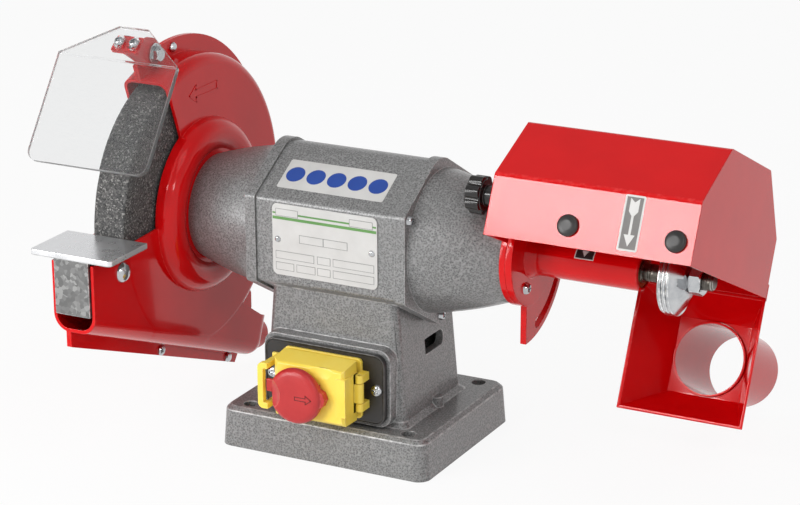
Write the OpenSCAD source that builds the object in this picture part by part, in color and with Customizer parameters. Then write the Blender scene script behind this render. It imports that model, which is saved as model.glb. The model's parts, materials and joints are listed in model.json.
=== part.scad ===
// Combination bench grinder: a grinding wheel on the left, a brush spindle under a hood on the right.
// Millimetres. X runs along the shaft, Y away from the operator, Z up.
// The origin is the centre of the foot's underside, on the bench.

/* [Foot and pedestal] */
// Length of the foot along the shaft
foot_w = 164; // [156:1:190]
// Depth of the foot
foot_d = 136; // [130:1:160]
// Height of the foot
foot_h = 29.5; // [26:0.5:33]
// Radius of the foot's upright corners
foot_corner_r = 9; // [5:0.5:12]
// How far the foot's sides draw in towards the top
foot_draft = 1.5; // [0.5:0.5:3]
// Width of the rounded border round the foot's top
foot_bevel = 3; // [1:0.5:4]
// Wall of the hollow foot
foot_wall = 7; // [5:0.5:9]
// Spacing of the bench bolts along the shaft
bolt_span_x = 126; // [122:1:130]
// Spacing of the bench bolts across the shaft
bolt_span_y = 110; // [104:1:112]
// Diameter of the bench bolt holes
bolt_hole_d = 10; // [7:0.5:11]
// Radius of the post round each bench bolt
bolt_post_r = 10; // [8:0.5:11]
// Thickness of the sheet under the foot
bottom_plate_t = 2; // [1:0.5:3]
// Height of the sheet above the bench
bottom_plate_z = 2; // [1:0.5:4]
// Length of the pedestal's foot along the shaft
ped_foot_w = 113; // [106:1:118]
// Depth of the pedestal's foot
ped_foot_d = 89; // [86:1:96]
// Length of the pedestal's top along the shaft
ped_top_w = 98; // [92:1:106]
// Depth of the pedestal's top
ped_top_d = 86; // [80:1:90]
// Radius of the pedestal's upright edges
ped_corner_r = 6; // [3:0.5:9]
// Wall of the hollow pedestal
ped_wall = 6; // [5:0.5:8]
// Fillet between the pedestal and the foot
ped_fillet = 4; // [2:0.5:6]
// Width of the slot in the pedestal's right wall
side_slot_w = 28; // [20:1:34]
// Height of the slot in the pedestal's right wall
side_slot_h = 11; // [8:0.5:14]

/* [Motor] */
// Height of the shaft over the bench
shaft_z = 155; // [150:1:165]
// Offset of the shaft from the foot's centre
shaft_y = -4; // [-6:0.5:0]
// Half the width across flats of the six-sided housing
hex_flat_r = 52.5; // [51:0.5:56]
// Length of the housing between the end bells
housing_len = 109; // [105:1:120]
// Radius of the housing's crown
hex_crown_r = 25; // [18:1:32]
// Radius of the housing's lowest edge
hex_foot_r = 10; // [6:1:14]
// Radius of the housing's other long edges
hex_edge_r = 4; // [2:0.5:6]
// Radius of the stator
stator_r = 46; // [42:0.5:47]
// Length of the stator stack
stator_len = 60; // [50:1:64]
// Radius of the rotor
rotor_r = 25.6; // [22:0.2:27]
// Gap between the rotor and the stator
air_gap = 0.6; // [0.4:0.1:1]
// Length of one winding's end turns
winding_len = 14; // [10:1:18]
// Radial depth of the end turns
winding_depth = 12; // [8:1:14]
// Thickness of an end bell's six-sided rim
bell_rim_t = 8; // [6:0.5:10]
// How far an end bell's rim stands out from the housing
bell_rim_proud = 1.7; // [1:0.1:3]
// Radius of an end bell where it leaves its rim
bell_root_r = 51.2; // [48:0.1:51.3]
// Radius of the left end bell's nose
bell_nose_r_left = 38; // [35:0.5:39]
// Radius of the right end bell's nose
bell_nose_r_right = 33.5; // [32:0.5:35]
// Length of the left end bell outside its rim
bell_len_left = 56.5; // [54:0.5:57]
// Length of the right end bell outside its rim
bell_len_right = 61.5; // [58:0.5:62]
// Swell of an end bell's flank
bell_swell = 1.6; // [0:0.2:3]
// Wall of an end bell
bell_wall = 5; // [4:0.5:6]
// Outer radius of the ball bearings
bearing_r = 20; // [17.5:0.5:22]
// Width of the ball bearings
bearing_w = 12; // [10:0.5:14]
// Distance of the bearings from the housing's middle
bearing_x = 78; // [76:1:82]

/* [Shaft] */
// Radius of the shaft in the rotor
shaft_core_r = 11; // [10:0.5:13]
// Radius of the shaft in the bearings
shaft_bearing_r = 8.5; // [8.5:0.5:10]
// Radius of the shaft under the grinding wheel
shaft_wheel_r = 8; // [6:0.5:8]
// Radius of the shaft in the spindle tube
shaft_tube_r = 7.5; // [6:0.5:7.5]
// Radius of the spindle's threaded end
spindle_r = 6; // [5:0.5:6.5]
// Running clearance of the shaft in a bearing
run_clear = 0.05; // [0.02:0.01:0.09]
// Clearance of parts that sit on the shaft or in a bore
seat_clear = 0.04; // [0.02:0.01:0.08]

/* [Grinding wheel] */
// Radius of the grinding wheel
wheel_r = 100; // [90:1:102]
// Width of the grinding wheel
wheel_w = 25; // [20:1:26]
// Distance of the wheel's middle from the housing's middle
wheel_x = 145.5; // [145:0.5:148]
// Radius of the wheel flanges
wheel_flange_r = 34; // [30:1:36]
// Thickness of a wheel flange
wheel_flange_t = 6; // [5:0.5:7]
// Thickness of the paper discs on the wheel
blotter_t = 1; // [0.5:0.1:1.5]
// Width across flats of the wheel nut
wheel_nut_af = 24; // [22:1:27]
// Height of the wheel nut
wheel_nut_h = 13; // [10:0.5:13]

/* [Guard] */
// Sheet of the guard
guard_wall = 2.5; // [2:0.1:3]
// Outer radius of the guard's drum
guard_r = 109; // [107:0.5:112]
// Radius of the drum's rounded rims
guard_rim_r = 8; // [5:0.5:10]
// Gap between the wheel and the guard's near wall
guard_gap_near = 2.5; // [2:0.1:3.5]
// Gap between the wheel and the guard's far wall
guard_gap_far = 4.5; // [3:0.5:7]
// Distance of the guard's parting plane from the wheel's middle
guard_parting = 5.5; // [3:0.5:7]
// Thickness of each guard half's flange
guard_flange_t = 2; // [1.5:0.1:2.5]
// Outer radius of the guard's flange
guard_flange_r = 121; // [118:0.5:124]
// Radius of the round section of the hub collar
collar_r = 13; // [12:0.5:14]
// Radius of the hub collar's ring
collar_ring_r = 51; // [50:0.5:54]
// Radius of the far half's hub dome
far_dome_r = 46; // [42:0.5:50]
// Half the outer width of the dust chute
chute_half_w = 17; // [16.5:0.1:17.2]
// Radius of the chute's lower edges
chute_edge_r = 12; // [8:0.5:13]
// Slope of the chute towards the back, in degrees
chute_slope = 22; // [20:0.5:23]
// Distance of the chute's mouth in front of the shaft
chute_front = 145.5; // [142:0.5:147]
// Distance of the chute's rear end behind the shaft
chute_rear_y = 71; // [68:0.5:74]
// Distance of the chute's rear end below the shaft
chute_rear_z = 124; // [123:0.5:125]
// Inner radius of the dust outlet at the chute's end
outlet_r = 9.5; // [7:0.5:10]
// Length of the outlet's collar
outlet_len = 7; // [4:0.5:9]

/* [Tool rest] */
// Width of the tool rest
rest_w = 66; // [50:1:72]
// Depth of the tool rest's plate
rest_d = 46.5; // [44:0.5:50]
// Thickness of the tool rest's plate
rest_t = 4; // [3:0.5:5]
// Height of the tool rest's plate over the shaft
rest_top = 2; // [0:0.5:3]
// Gap between the tool rest and the wheel
rest_gap = 1.8; // [1.5:0.1:3]
// Length of the tool rest's leg
rest_leg_len = 44; // [36:1:46]
// Thickness of the tool rest's web
rest_web_t = 6; // [4:0.5:8]
// Side clearance of the leg in the chute
rest_side_clear = 0.5; // [0.4:0.1:1]
// Distance of the clamp bolt in front of the shaft
rest_bolt_y = 110; // [109:0.5:112]
// Distance of the clamp bolt below the shaft
rest_bolt_z = 19; // [17:0.5:22]
// Radius of the clamp bolt
rest_bolt_r = 4; // [3:0.5:4]
// Radius of the clamp bolt's round head
rest_head_r = 7.5; // [6:0.5:9]

/* [Eye shield] */
// Width of the eye shield
shield_w = 97; // [85:1:100]
// Thickness of the eye shield
shield_t = 4; // [3:0.5:5]
// Height of the shield's lower pane
shield_pane_h = 79; // [70:1:82]
// Lean of the lower pane from upright, in degrees
shield_pane_lean = 35; // [30:1:40]
// Length of the shield's upper pane
shield_top_h = 28; // [24:1:32]
// Lean of the upper pane from upright, in degrees
shield_top_lean = 53; // [48:1:58]
// Width of the upper pane's far edge
shield_top_w = 24; // [22:1:34]
// Distance of the fold in front of the shaft
shield_fold_y = 78; // [76:1:80]
// Height of the fold over the shaft
shield_fold_z = 121; // [119:1:123]
// Radius of the lower pane's corners
shield_corner_r = 8; // [4:1:12]
// Distance of the pivot bolt in front of the shaft
pivot_y = 32; // [30:0.5:34]
// Height of the pivot bolt over the shaft
pivot_z = 115.5; // [114:0.5:118]
// Radius of the pivot bolt
pivot_r = 3; // [2.5:0.5:3.5]
// Thickness of the shield's bracket
bracket_t = 2.5; // [2:0.5:3]

/* [Spindle tube] */
// Radius of the tube's flange and the sector plate's hub
flange_r = 36; // [35:0.5:37]
// Thickness of the tube's flange
tube_flange_t = 5; // [4:0.5:6]
// Outer radius of the spindle tube
tube_r = 13.5; // [12:0.5:14.5]
// Wall of the spindle tube
tube_wall = 2.5; // [2:0.1:2.8]
// Distance of the tube's end from the housing's middle
tube_end = 215; // [205:1:216]
// Length of the plain bearing in the tube
bush_len = 22; // [14:1:30]
// Thickness of the slotted sector plate
sector_t = 4.5; // [3:0.5:5]
// Outer radius of the sector plate
sector_r = 66; // [65:0.5:70]
// Radius of the sector's slot
slot_r = 58.5; // [58:0.5:60]
// Width of the sector's slot
slot_w = 6.8; // [6.6:0.1:8]
// Lower end of the sector plate, in degrees round the shaft
sector_from = -91; // [-100:1:-88]
// Upper end of the sector plate, in degrees round the shaft
sector_to = 146; // [144:1:150]

/* [Spindle end] */
// Radius of the clamping discs
disc_r = 26; // [22:0.5:27]
// Thickness of one clamping disc
disc_t = 3.2; // [2.5:0.1:4]
// Bare length of shaft between the tube and the first disc
disc_gap = 18.5; // [10:0.5:22]
// Length of the cone flange
cone_len = 9; // [8:0.5:11]
// Radius of the cone flange's nose
cone_nose_r = 12; // [10:0.5:14]
// Width across flats of the spindle nut
spindle_nut_af = 19; // [18:1:21]
// Height of the spindle nut
spindle_nut_h = 9; // [8:0.5:11]
// Distance of the spindle's tip from the housing's middle
spindle_tip = 265; // [264:1:270]

/* [Hood] */
// Tilt of the hood at rest, in degrees
hood_tilt = -25; // [-27:1:-20]
// Sheet of the hood
hood_t = 2; // [1.5:0.1:2.5]
// Distance of the hood's right end from the housing's middle
hood_end = 275; // [272:1:285]
// Half the width of the hood
hood_half_w = 78.6; // [77:0.2:82]
// Height of the hood's upright panels
hood_side_h = 41.5; // [38:0.5:46]
// Height of the hood over the shaft
hood_top = 84.4; // [82:0.2:92]
// Half the width of the hood's flat top
hood_top_half_w = 41; // [36:0.5:46]
// Height of the hood's lower edge over the shaft
hood_edge = 1.3; // [0.5:0.1:3]
// Gap between the hood's left panel and the sector plate
hood_sector_gap = 0.5; // [0.4:0.1:1]
// Radius of the hood's cut-out round the spindle flange
hood_notch_r = 41; // [39:0.5:44]
// Width of the dust funnel's mouth
funnel_w = 92.8; // [84:0.2:96]
// Height of the dust funnel's mouth
funnel_h = 91.2; // [84:0.2:96]
// Depth of the dust funnel
funnel_d = 35; // [28:1:40]
// Outer radius of the dust tube
dust_r = 26.6; // [24:0.1:28]
// Wall of the dust tube
dust_wall = 1.6; // [1.2:0.1:2]
// Length of the dust tube
dust_len = 76; // [60:1:78]
// How far the dust tube reaches into the funnel
dust_inset = 2; // [1:0.5:4]
// Place of the dust tube to the right of the funnel's middle
dust_shift = 3; // [0:0.5:8]
// Radius of the black plugs
plug_r = 7.3; // [6:0.1:8]
// Height of the black plugs
plug_h = 4; // [3:0.5:5]
// Height of the plugs over the hood's lower edge
plug_z = 14; // [10:0.5:20]
// Distance of the first plug from the housing's middle
plug_x = 187.5; // [180:0.5:196]
// Spacing of the plugs
plug_span = 75; // [60:1:78]
// Place of the clamp stud round the shaft at rest, in degrees
stud_angle = 124; // [120:1:128]
// Radius of the clamp stud
stud_r = 3; // [2.5:0.5:3]
// Radius of the star knob
knob_r = 13.5; // [11:0.5:14]
// Thickness of the star knob
knob_t = 11.5; // [10:0.5:13]
// Number of the star knob's lobes
knob_lobes = 7; // [5:1:9]
// Length of the knob's boss
knob_boss = 10.5; // [10:0.5:12]

/* [Switch] */
// Width of the switch plate
plate_w = 95; // [90:1:97]
// Height of the switch plate
plate_h = 52; // [50:1:53]
// Thickness of the switch plate
plate_t = 3.5; // [2.5:0.5:4]
// Corner radius of the switch plate
plate_corner_r = 8; // [4:0.5:10]
// Width of the raised rim round the switch plate
plate_rim_w = 1.6; // [1:0.1:1.8]
// Height of the switch plate's rim
plate_rim_h = 0.8; // [0.4:0.1:1]
// Height of the switch's middle over the bench
switch_z = 59; // [58.5:0.5:61]
// How far the pedestal's front pad stands out
pad_proud = 8; // [6:0.5:10]
// Width of the switch body behind the plate
switch_core_w = 52; // [44:1:56]
// Height of the switch body behind the plate
switch_core_h = 36; // [32:1:38]
// Depth of the switch body behind the plate's face
switch_core_d = 38; // [30:1:44]
// Width of the yellow flap
flap_w = 57; // [54:1:60]
// Height of the yellow flap
flap_h = 44; // [42:1:46]
// Depth of the yellow flap
flap_d = 19; // [17:0.5:20]
// Wall of the flap
flap_wall = 2; // [1.5:0.1:2.5]
// Gap behind the flap, taken up when it is pressed
flap_gap = 3; // [2.8:0.1:4]
// Radius of the flap's hinge barrel
barrel_r = 3; // [2.5:0.1:3.5]
// Radius of the hinge pin
hinge_pin_r = 1.2; // [1:0.1:1.4]
// Radius of the red mushroom
mushroom_r = 20; // [17:0.5:21]
// Height of the red mushroom
mushroom_h = 10; // [8:0.5:12]
// Travel of the mushroom's latch
latch_travel = 5; // [4:0.5:6]
// Radius of the two buttons under the flap
button_r = 6; // [5:0.5:7]
// How far the buttons stand out
button_proud = 4; // [3:0.5:5]

/* [Hidden] */

cast_grey = "#75787a";
guard_red = "#b3121a";
zinc = "#b9bcc0";
dark_plastic = "#26262a";
switch_yellow = "#f2c51d";

// Facets of round shapes, of hull children, and a small overlap for cuts
fine = 96;
soft = 32;
cut = 1;
// Reach of cutting shapes past the whole part
beyond = 3.3 * guard_flange_r;
$fn = fine;

// Places along the shaft
housing_half = housing_len / 2;
rim_face = housing_half + bell_rim_t;
nose_left = rim_face + bell_len_left;
nose_right = rim_face + bell_len_right;
hex_rim_r = hex_flat_r + bell_rim_proud;
bell_screw_angles = [30, 150, 270];
bell_screw_ring_r = hex_rim_r + 1;
bell_screw_r = 2;

// Pedestal
ped_top_z = shaft_z - hex_flat_r * 0.63;
ped_front = shaft_y - ped_foot_d / 2;
pad_face = ped_front - pad_proud;
plate_face = pad_face - plate_t;
cavity_top = shaft_z - hex_flat_r / cos(30) - ped_wall;

// Guard, in the shaft's frame with the wheel on the negative side
wheel_mid = -wheel_x;
guard_near = wheel_mid + wheel_w / 2 + guard_gap_near + guard_wall;
guard_far = wheel_mid - wheel_w / 2 - guard_gap_far - guard_wall;
parting = wheel_mid - guard_parting;
wheel_stack = wheel_w / 2 + blotter_t + wheel_flange_t;
wheel_nut_x = wheel_mid - wheel_stack - wheel_nut_h;
shaft_left_end = wheel_nut_x - 2;
far_dome_face = shaft_left_end - 3 - guard_wall;
hub_web_t = 2.5;
hub_screw_ring_r = 28;
hub_hole_r = 14;
// Where the front opening's edges cross, as offsets from the shaft in Y and Z
opening_top_inner = [-28.4, 54];
opening_top_outer = [-55, 125];
opening_low = -4.5;
opening_hub_r = collar_ring_r + collar_r - 0.5;
flange_screw_r = 2;
flange_screw_ring_r = (guard_r + guard_flange_r) / 2;
flange_screw_spots = [
    [-5, sqrt(pow(flange_screw_ring_r, 2) - 25)],
    [flange_screw_ring_r * cos(-28), flange_screw_ring_r * sin(-28)],
    [-34, -105.2],
    [58, -141.4]];
strip_front = [-chute_front, -66];
strip_rear = [chute_rear_y - 2, -149.5];
ear_r = 11;

// Capacitor, its place from the middle of the shaft
cap_r = 14;
cap_h = 58;
cap_place = [-18, 22];

// Tool rest
rest_back = -sqrt(pow(wheel_r, 2) - pow(rest_top, 2)) - rest_gap;
rest_front = rest_back - rest_d;
rest_leg_w = 2 * (chute_half_w - guard_wall - rest_side_clear);
rest_slot_front = 18;
rest_pad_r = 8.5;
rest_web_back = -sqrt(pow(wheel_r, 2) - pow(rest_bolt_z, 2)) - rest_gap - 3;

// Spindle side
sector_x = nose_right;
tube_flange_x = sector_x + sector_t;
tube_flange_face = tube_flange_x + tube_flange_t;
hood_start = sector_x + sector_t + hood_sector_gap;
knob_x = sector_x - knob_boss - knob_t;
disc_x = tube_end + disc_gap;
cone_x = disc_x + 2 * disc_t;
spindle_nut_x = cone_x + cone_len;
arbor_screw_ring_r = 24;
arbor_screw_angles = [238, 358, 118];
funnel_x = hood_end - funnel_w;
funnel_mid_x = hood_end - funnel_w / 2;
dust_x = funnel_mid_x + dust_shift;
funnel_mid_z = hood_edge - funnel_h / 2;
funnel_back = hood_half_w + funnel_d;
hood_outline = [[-hood_half_w, hood_edge], [hood_half_w, hood_edge],
    [hood_half_w, hood_edge + hood_side_h], [hood_top_half_w, hood_top],
    [-hood_top_half_w, hood_top], [-hood_half_w, hood_edge + hood_side_h]];

// Switch
switch_flange_t = 2.5;
switch_flange_w = flap_w + 4;
switch_flange_h = flap_h;
flange_face = plate_face - switch_flange_t;
flap_back = flange_face - flap_gap;
flap_face = flap_back - flap_d;
flap_left = -flap_w / 2;
flap_right = flap_w / 2;
hinge_x = flap_right + barrel_r + 1;
hinge_y = flap_back - barrel_r - 0.5;
barrel_len = 14;
core_front_h = flap_h - 2 * flap_wall - 5;
core_front_w = flap_w - 2 * flap_wall - 8;
core_front_face = flange_face - 8;
mushroom_x = -6;
mushroom_z = switch_z - 1.5;
latch_z = mushroom_z;
latch_h = 9;
button_spread = 20;
button_z = switch_z + 10.5;
loop_x = flap_left - 12;
plate_screw_x = plate_w / 2 - 6.5;

// Coordinates with the shaft as the X axis
module at_shaft() {
    translate([0, shaft_y, shaft_z]) children();
}

// Coordinates that turn with the hood
module at_hood() {
    at_shaft() rotate([hood_tilt, 0, 0]) children();
}

// Solid of revolution about X from points [radius, x]
module turn_x(points) {
    rotate([0, 90, 0]) rotate_extrude() polygon(points);
}

// Disc or rod along X from x0 to x1
module rod_x(r, x0, x1) {
    translate([x0, 0, 0]) rotate([0, 90, 0]) cylinder(r = r, h = x1 - x0);
}

// Tube along X
module tube_x(r_out, r_in, x0, x1) {
    difference() {
        rod_x(r_out, x0, x1);
        rod_x(r_in, x0 - cut, x1 + cut);
    }
}

// Flat outline in Y and Z drawn out along X from x0 to x1
module slab_x(x0, x1) {
    translate([x0, 0, 0]) rotate([90, 0, 90]) linear_extrude(x1 - x0) children();
}

// Flat outline in X and Z drawn out along Y from y0 to y1
module slab_y(y0, y1) {
    translate([0, y1, 0]) rotate([90, 0, 0]) linear_extrude(y1 - y0) children();
}

// Convex outline with each corner rounded by its own radius
module rounded_outline(points, radii) {
    n = len(points);
    corner = function(i) points[(i + n) % n];
    along = function(a, b) (b - a) / norm(b - a);
    half = function(i) acos(along(corner(i), corner(i - 1)) * along(corner(i), corner(i + 1))) / 2;
    centre = function(i) let (u = along(corner(i), corner(i - 1)) + along(corner(i), corner(i + 1)))
        corner(i) + u / norm(u) * radii[i] / sin(half(i));
    polygon([for (i = [0:n - 1]) for (side = [-1, 1])
        corner(i) + along(corner(i), corner(i + side)) * radii[i] / tan(half(i))]);
    for (i = [0:n - 1]) translate(centre(i)) circle(radii[i]);
}

// Rectangle about the origin with rounded corners
module rounded_rect(w, h, r) {
    rounded_outline([[-w / 2, -h / 2], [w / 2, -h / 2], [w / 2, h / 2], [-w / 2, h / 2]], [r, r, r, r]);
}

// The six-sided section, with a rounded crown above and below
module hex_outline(flat_r) {
    corner_r = flat_r / cos(30);
    rounded_outline([for (a = [30:60:330]) corner_r * [cos(a), sin(a)]],
        [hex_edge_r, hex_crown_r, hex_edge_r, hex_edge_r, hex_foot_r, hex_edge_r]);
}

// Low slab used as one station of a tapered block
module station(w, d, r, z) {
    translate([0, 0, z]) linear_extrude(0.01) rounded_rect(w, d, r, $fn = soft);
}

// Pan head with its shank, pointing along +Z, seated at z = 0
module pan_screw(r, head_r, head_h, shank) {
    rotate_extrude() polygon([[0, -shank], [r, -shank], [r, 0], [head_r, 0], [head_r, head_h * 0.5],
        [head_r * 0.8, head_h * 0.85], [head_r * 0.4, head_h], [0, head_h]]);
}

// Hexagon nut along X from x0, with a bore
module hex_nut_x(af, h, bore, x0) {
    difference() {
        rod_x_hex(af, h, x0);
        rod_x(bore, x0 - cut, x0 + h + cut);
    }
}

// Hexagonal bar along X, its corners turned off at both ends
module rod_x_hex(af, h, x0) {
    corner_r = af / 2 / cos(30);
    bevel = corner_r - af / 2;
    intersection() {
        translate([x0, 0, 0]) rotate([0, 90, 0]) cylinder(r = corner_r, h = h, $fn = 6);
        turn_x([[0, x0], [af / 2, x0], [corner_r, x0 + bevel], [corner_r, x0 + h - bevel],
            [af / 2, x0 + h], [0, x0 + h]]);
    }
}

// Foot, pedestal and motor housing
module foot_block() {
    hull() {
        station(foot_w, foot_d, foot_corner_r, 0);
        station(foot_w - 2 * foot_draft, foot_d - 2 * foot_draft, foot_corner_r, foot_h - foot_bevel);
        station(foot_w - 2 * (foot_draft + foot_bevel), foot_d - 2 * (foot_draft + foot_bevel),
            foot_corner_r - 2, foot_h);
    }
}

module pedestal_block() {
    translate([0, shaft_y, 0]) {
        hull() {
            station(ped_foot_w, ped_foot_d, ped_corner_r, foot_h - cut);
            station(ped_top_w, ped_top_d, ped_corner_r, ped_top_z);
        }
        hull() {
            station(ped_foot_w + 2 * ped_fillet, ped_foot_d + 2 * ped_fillet, ped_corner_r, foot_h - cut);
            station(ped_foot_w - 1, ped_foot_d - 1, ped_corner_r, foot_h + ped_fillet);
        }
    }
}

module pedestal_cavity() {
    slope = (ped_foot_w - ped_top_w) / (ped_top_z - foot_h);
    drop = slope * (cavity_top - foot_h);
    translate([0, shaft_y, 0]) hull() {
        station(ped_foot_w - 2 * ped_wall, ped_foot_d - 2 * ped_wall, ped_corner_r,
            foot_h - foot_wall - cut);
        station(ped_foot_w - drop - 2 * ped_wall, ped_top_d - 2 * ped_wall, ped_corner_r, cavity_top);
    }
}

function bolt_spots() = [for (x = [-1, 1], y = [-1, 1]) [x * bolt_span_x / 2, y * bolt_span_y / 2]];
function plate_post_spots() = [for (x = [-1, 1], y = [-1, 1])
    [x * (foot_w / 2 - foot_wall - 9), y * (foot_d / 2 - foot_wall - 34)]];

plate_post_r = 6.5;
plate_screw_r = 1.8;

module foot_cavity() {
    difference() {
        translate([0, 0, -cut]) linear_extrude(foot_h - foot_wall + cut)
            square([foot_w - 2 * foot_wall - 6, foot_d - 2 * foot_wall - 6], center = true);
        for (p = bolt_spots()) translate([p[0], p[1], -2 * cut]) cylinder(r = bolt_post_r, h = foot_h);
        for (p = plate_post_spots()) translate([p[0], p[1], bottom_plate_z + bottom_plate_t])
            cylinder(r = plate_post_r, h = foot_h);
    }
}

module body_casting() {
    pad_h = plate_h + 5;
    pad_w = plate_w + 5;
    slot_y = shaft_y + 9;
    slot_z = 76;
    color(cast_grey) difference() {
        union() {
            foot_block();
            pedestal_block();
            at_shaft() slab_x(-housing_half, housing_half) hex_outline(hex_flat_r);
            translate([0, 0, switch_z]) slab_y(pad_face, ped_front + ped_wall)
                rounded_rect(pad_w, pad_h, plate_corner_r + 1);
            translate([ped_foot_w / 2, shaft_y + 4, foot_h - cut]) cylinder(r = 5, h = 9);
        }
        at_shaft() rod_x(stator_r + seat_clear, -housing_half - cut, housing_half + cut);
        foot_cavity();
        pedestal_cavity();
        for (p = bolt_spots()) translate([p[0], p[1], -cut])
            cylinder(d = bolt_hole_d, h = foot_h + 2 * cut);
        for (p = plate_post_spots()) translate([p[0], p[1], 0])
            cylinder(r = plate_screw_r, h = foot_h - 12);
        translate([ped_top_w / 2 - 2 * ped_wall, slot_y - side_slot_w / 2, slot_z - side_slot_h / 2])
            cube([4 * ped_wall, side_slot_w - side_slot_h / 2, side_slot_h]);
        translate([0, slot_y + side_slot_w / 2 - side_slot_h / 2, slot_z])
            rod_x(side_slot_h / 2, ped_top_w / 2 - 2 * ped_wall, ped_top_w / 2 + 2 * ped_wall);
        translate([0, 0, switch_z]) slab_y(pad_face - cut, ped_front + 3 * ped_wall)
            square([switch_core_w + 2, switch_core_h + 2], center = true);
        for (x = [-1, 1]) translate([x * plate_screw_x, pad_face, switch_z]) rotate([90, 0, 0])
            cylinder(r = 2, h = 24, center = true);
        translate([housing_half - 16, shaft_y, cavity_top - cut]) cylinder(r = 5, h = 40);
        translate([0, shaft_y + ped_foot_d / 2, gland_z]) rotate([90, 0, 0])
            cylinder(r = gland_r + seat_clear, h = 6 * ped_wall, center = true);
        at_shaft() for (a = bell_screw_angles) rotate([a, 0, 0])
            translate([0, bell_screw_ring_r, 0])
                rod_x(bell_screw_r + seat_clear, -housing_half - cut, housing_half + cut);
    }
}

gland_z = 52;
gland_r = 8;

module bottom_plate() {
    color("#5b5d60") difference() {
        translate([0, 0, bottom_plate_z]) linear_extrude(bottom_plate_t)
            square([foot_w - 2 * foot_wall - 7, foot_d - 2 * foot_wall - 7], center = true);
        for (p = bolt_spots()) translate([p[0], p[1], -cut]) cylinder(r = bolt_post_r + 0.5, h = foot_h);
        for (p = plate_post_spots()) translate([p[0], p[1], -cut])
            cylinder(r = plate_screw_r + seat_clear, h = foot_h);
        for (x = [-1, 1], y = [-1, 1])
            translate([x * (foot_w / 2 - foot_wall), y * (foot_d / 2 - foot_wall), bottom_plate_z])
                cube([foot_w - bolt_span_x, foot_d - bolt_span_y - 8, 4 * bottom_plate_t], center = true);
    }
}

module bottom_plate_screws() {
    color(zinc) for (p = plate_post_spots()) translate([p[0], p[1], bottom_plate_z]) mirror([0, 0, 1])
        pan_screw(plate_screw_r - seat_clear, 3.2, 1.6, 10);
}

// End bell on the right, its rim against the housing and its nose outwards
function bell_flank(root, nose, length) = [for (i = [0:8]) let (t = i / 8)
    [root + (nose - root) * t + bell_swell * sin(180 * t), rim_face + length * t]];

module end_bell(nose_r, length) {
    seat_back = bearing_x + bearing_w;
    nose_x = rim_face + length;
    difference() {
        union() {
            slab_x(housing_half, rim_face) hex_outline(hex_rim_r);
            turn_x(concat([[0, housing_half]], [[bell_root_r, housing_half]],
                bell_flank(bell_root_r, nose_r, length), [[0, nose_x]]));
            for (a = bell_screw_angles) rotate([a, 0, 0])
                translate([0, bell_screw_ring_r, 0]) rod_x(4, housing_half, rim_face);
        }
        turn_x([[0, housing_half - cut], [stator_r - 1, housing_half - cut], [stator_r - 1, rim_face],
            [bell_root_r - 2 * bell_wall, bearing_x - 2],
            [bearing_r + seat_clear, bearing_x - 2], [bearing_r + seat_clear, seat_back],
            [shaft_bearing_r + 3, seat_back], [shaft_bearing_r + 3, seat_back + bell_wall],
            [nose_r - bell_wall - 12, seat_back + bell_wall], [nose_r - bell_wall - 16, nose_x + cut],
            [0, nose_x + cut]]);
        for (a = bell_screw_angles) rotate([a, 0, 0]) translate([0, bell_screw_ring_r, 0])
            rod_x(bell_screw_r + seat_clear, housing_half - cut, rim_face + cut);
    }
}

module left_end_bell() {
    color(cast_grey) at_shaft() difference() {
        mirror([1, 0, 0]) end_bell(bell_nose_r_left, bell_len_left);
        for (a = [90, 210, 330]) rotate([a, 0, 0]) translate([0, hub_screw_ring_r, 0])
            rod_x(2 + seat_clear, -nose_left - cut, -nose_left + 9);
    }
}

module right_end_bell() {
    color(cast_grey) at_shaft() difference() {
        union() {
            end_bell(bell_nose_r_right, bell_len_right);
            for (a = arbor_screw_angles) rotate([a, 0, 0]) translate([0, bell_nose_r_right - 4, 0])
                rod_x(6, nose_right - 24, nose_right);
        }
        for (a = arbor_screw_angles) rotate([a, 0, 0]) translate([0, arbor_screw_ring_r, 0])
            rod_x(2.5 + seat_clear, nose_right - 9, nose_right + cut);
    }
}

module end_bell_screws() {
    color(zinc) at_shaft() for (side = [0, 1], a = bell_screw_angles) mirror([side, 0, 0])
        rotate([a, 0, 0]) translate([rim_face, bell_screw_ring_r, 0]) rotate([0, 90, 0])
            pan_screw(bell_screw_r, 3.6, 3, 22);
}

// Motor
module stator_core() {
    slots = 24;
    color("#6f7073") at_shaft() difference() {
        rod_x(stator_r, -stator_len / 2, stator_len / 2);
        rod_x(rotor_r + air_gap, -stator_len, stator_len);
        for (i = [0:slots - 1]) rotate([i * 360 / slots, 0, 0])
            translate([-stator_len, rotor_r + air_gap + 2, -1.5]) cube([2 * stator_len, 9, 3]);
    }
}

module stator_windings() {
    inner = rotor_r + air_gap + 4;
    outer = inner + winding_depth;
    color("#b0672f") at_shaft() for (side = [0, 1]) mirror([side, 0, 0])
        turn_x([[inner, stator_len / 2], [outer - 1, stator_len / 2],
            [outer, stator_len / 2 + 3], [outer - 2, stator_len / 2 + winding_len],
            [inner + 3, stator_len / 2 + winding_len], [inner, stator_len / 2 + winding_len - 4]]);
}

module ball_bearing(shaft_r) {
    groove = 1;
    difference() {
        tube_x(bearing_r, shaft_r + run_clear, bearing_x, bearing_x + bearing_w);
        for (x = [bearing_x - cut, bearing_x + bearing_w - groove])
            tube_x(bearing_r - 4, shaft_r + 3.5, x, x + groove + cut);
    }
}

module left_bearing() {
    color(zinc) at_shaft() mirror([1, 0, 0]) ball_bearing(shaft_bearing_r);
}

module right_bearing() {
    color(zinc) at_shaft() ball_bearing(shaft_bearing_r);
}

module run_capacitor() {
    color("#d8d8d2") translate([cap_place[0], shaft_y + cap_place[1], bottom_plate_z + bottom_plate_t])
        cylinder(r = cap_r, h = cap_h);
}

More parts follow.
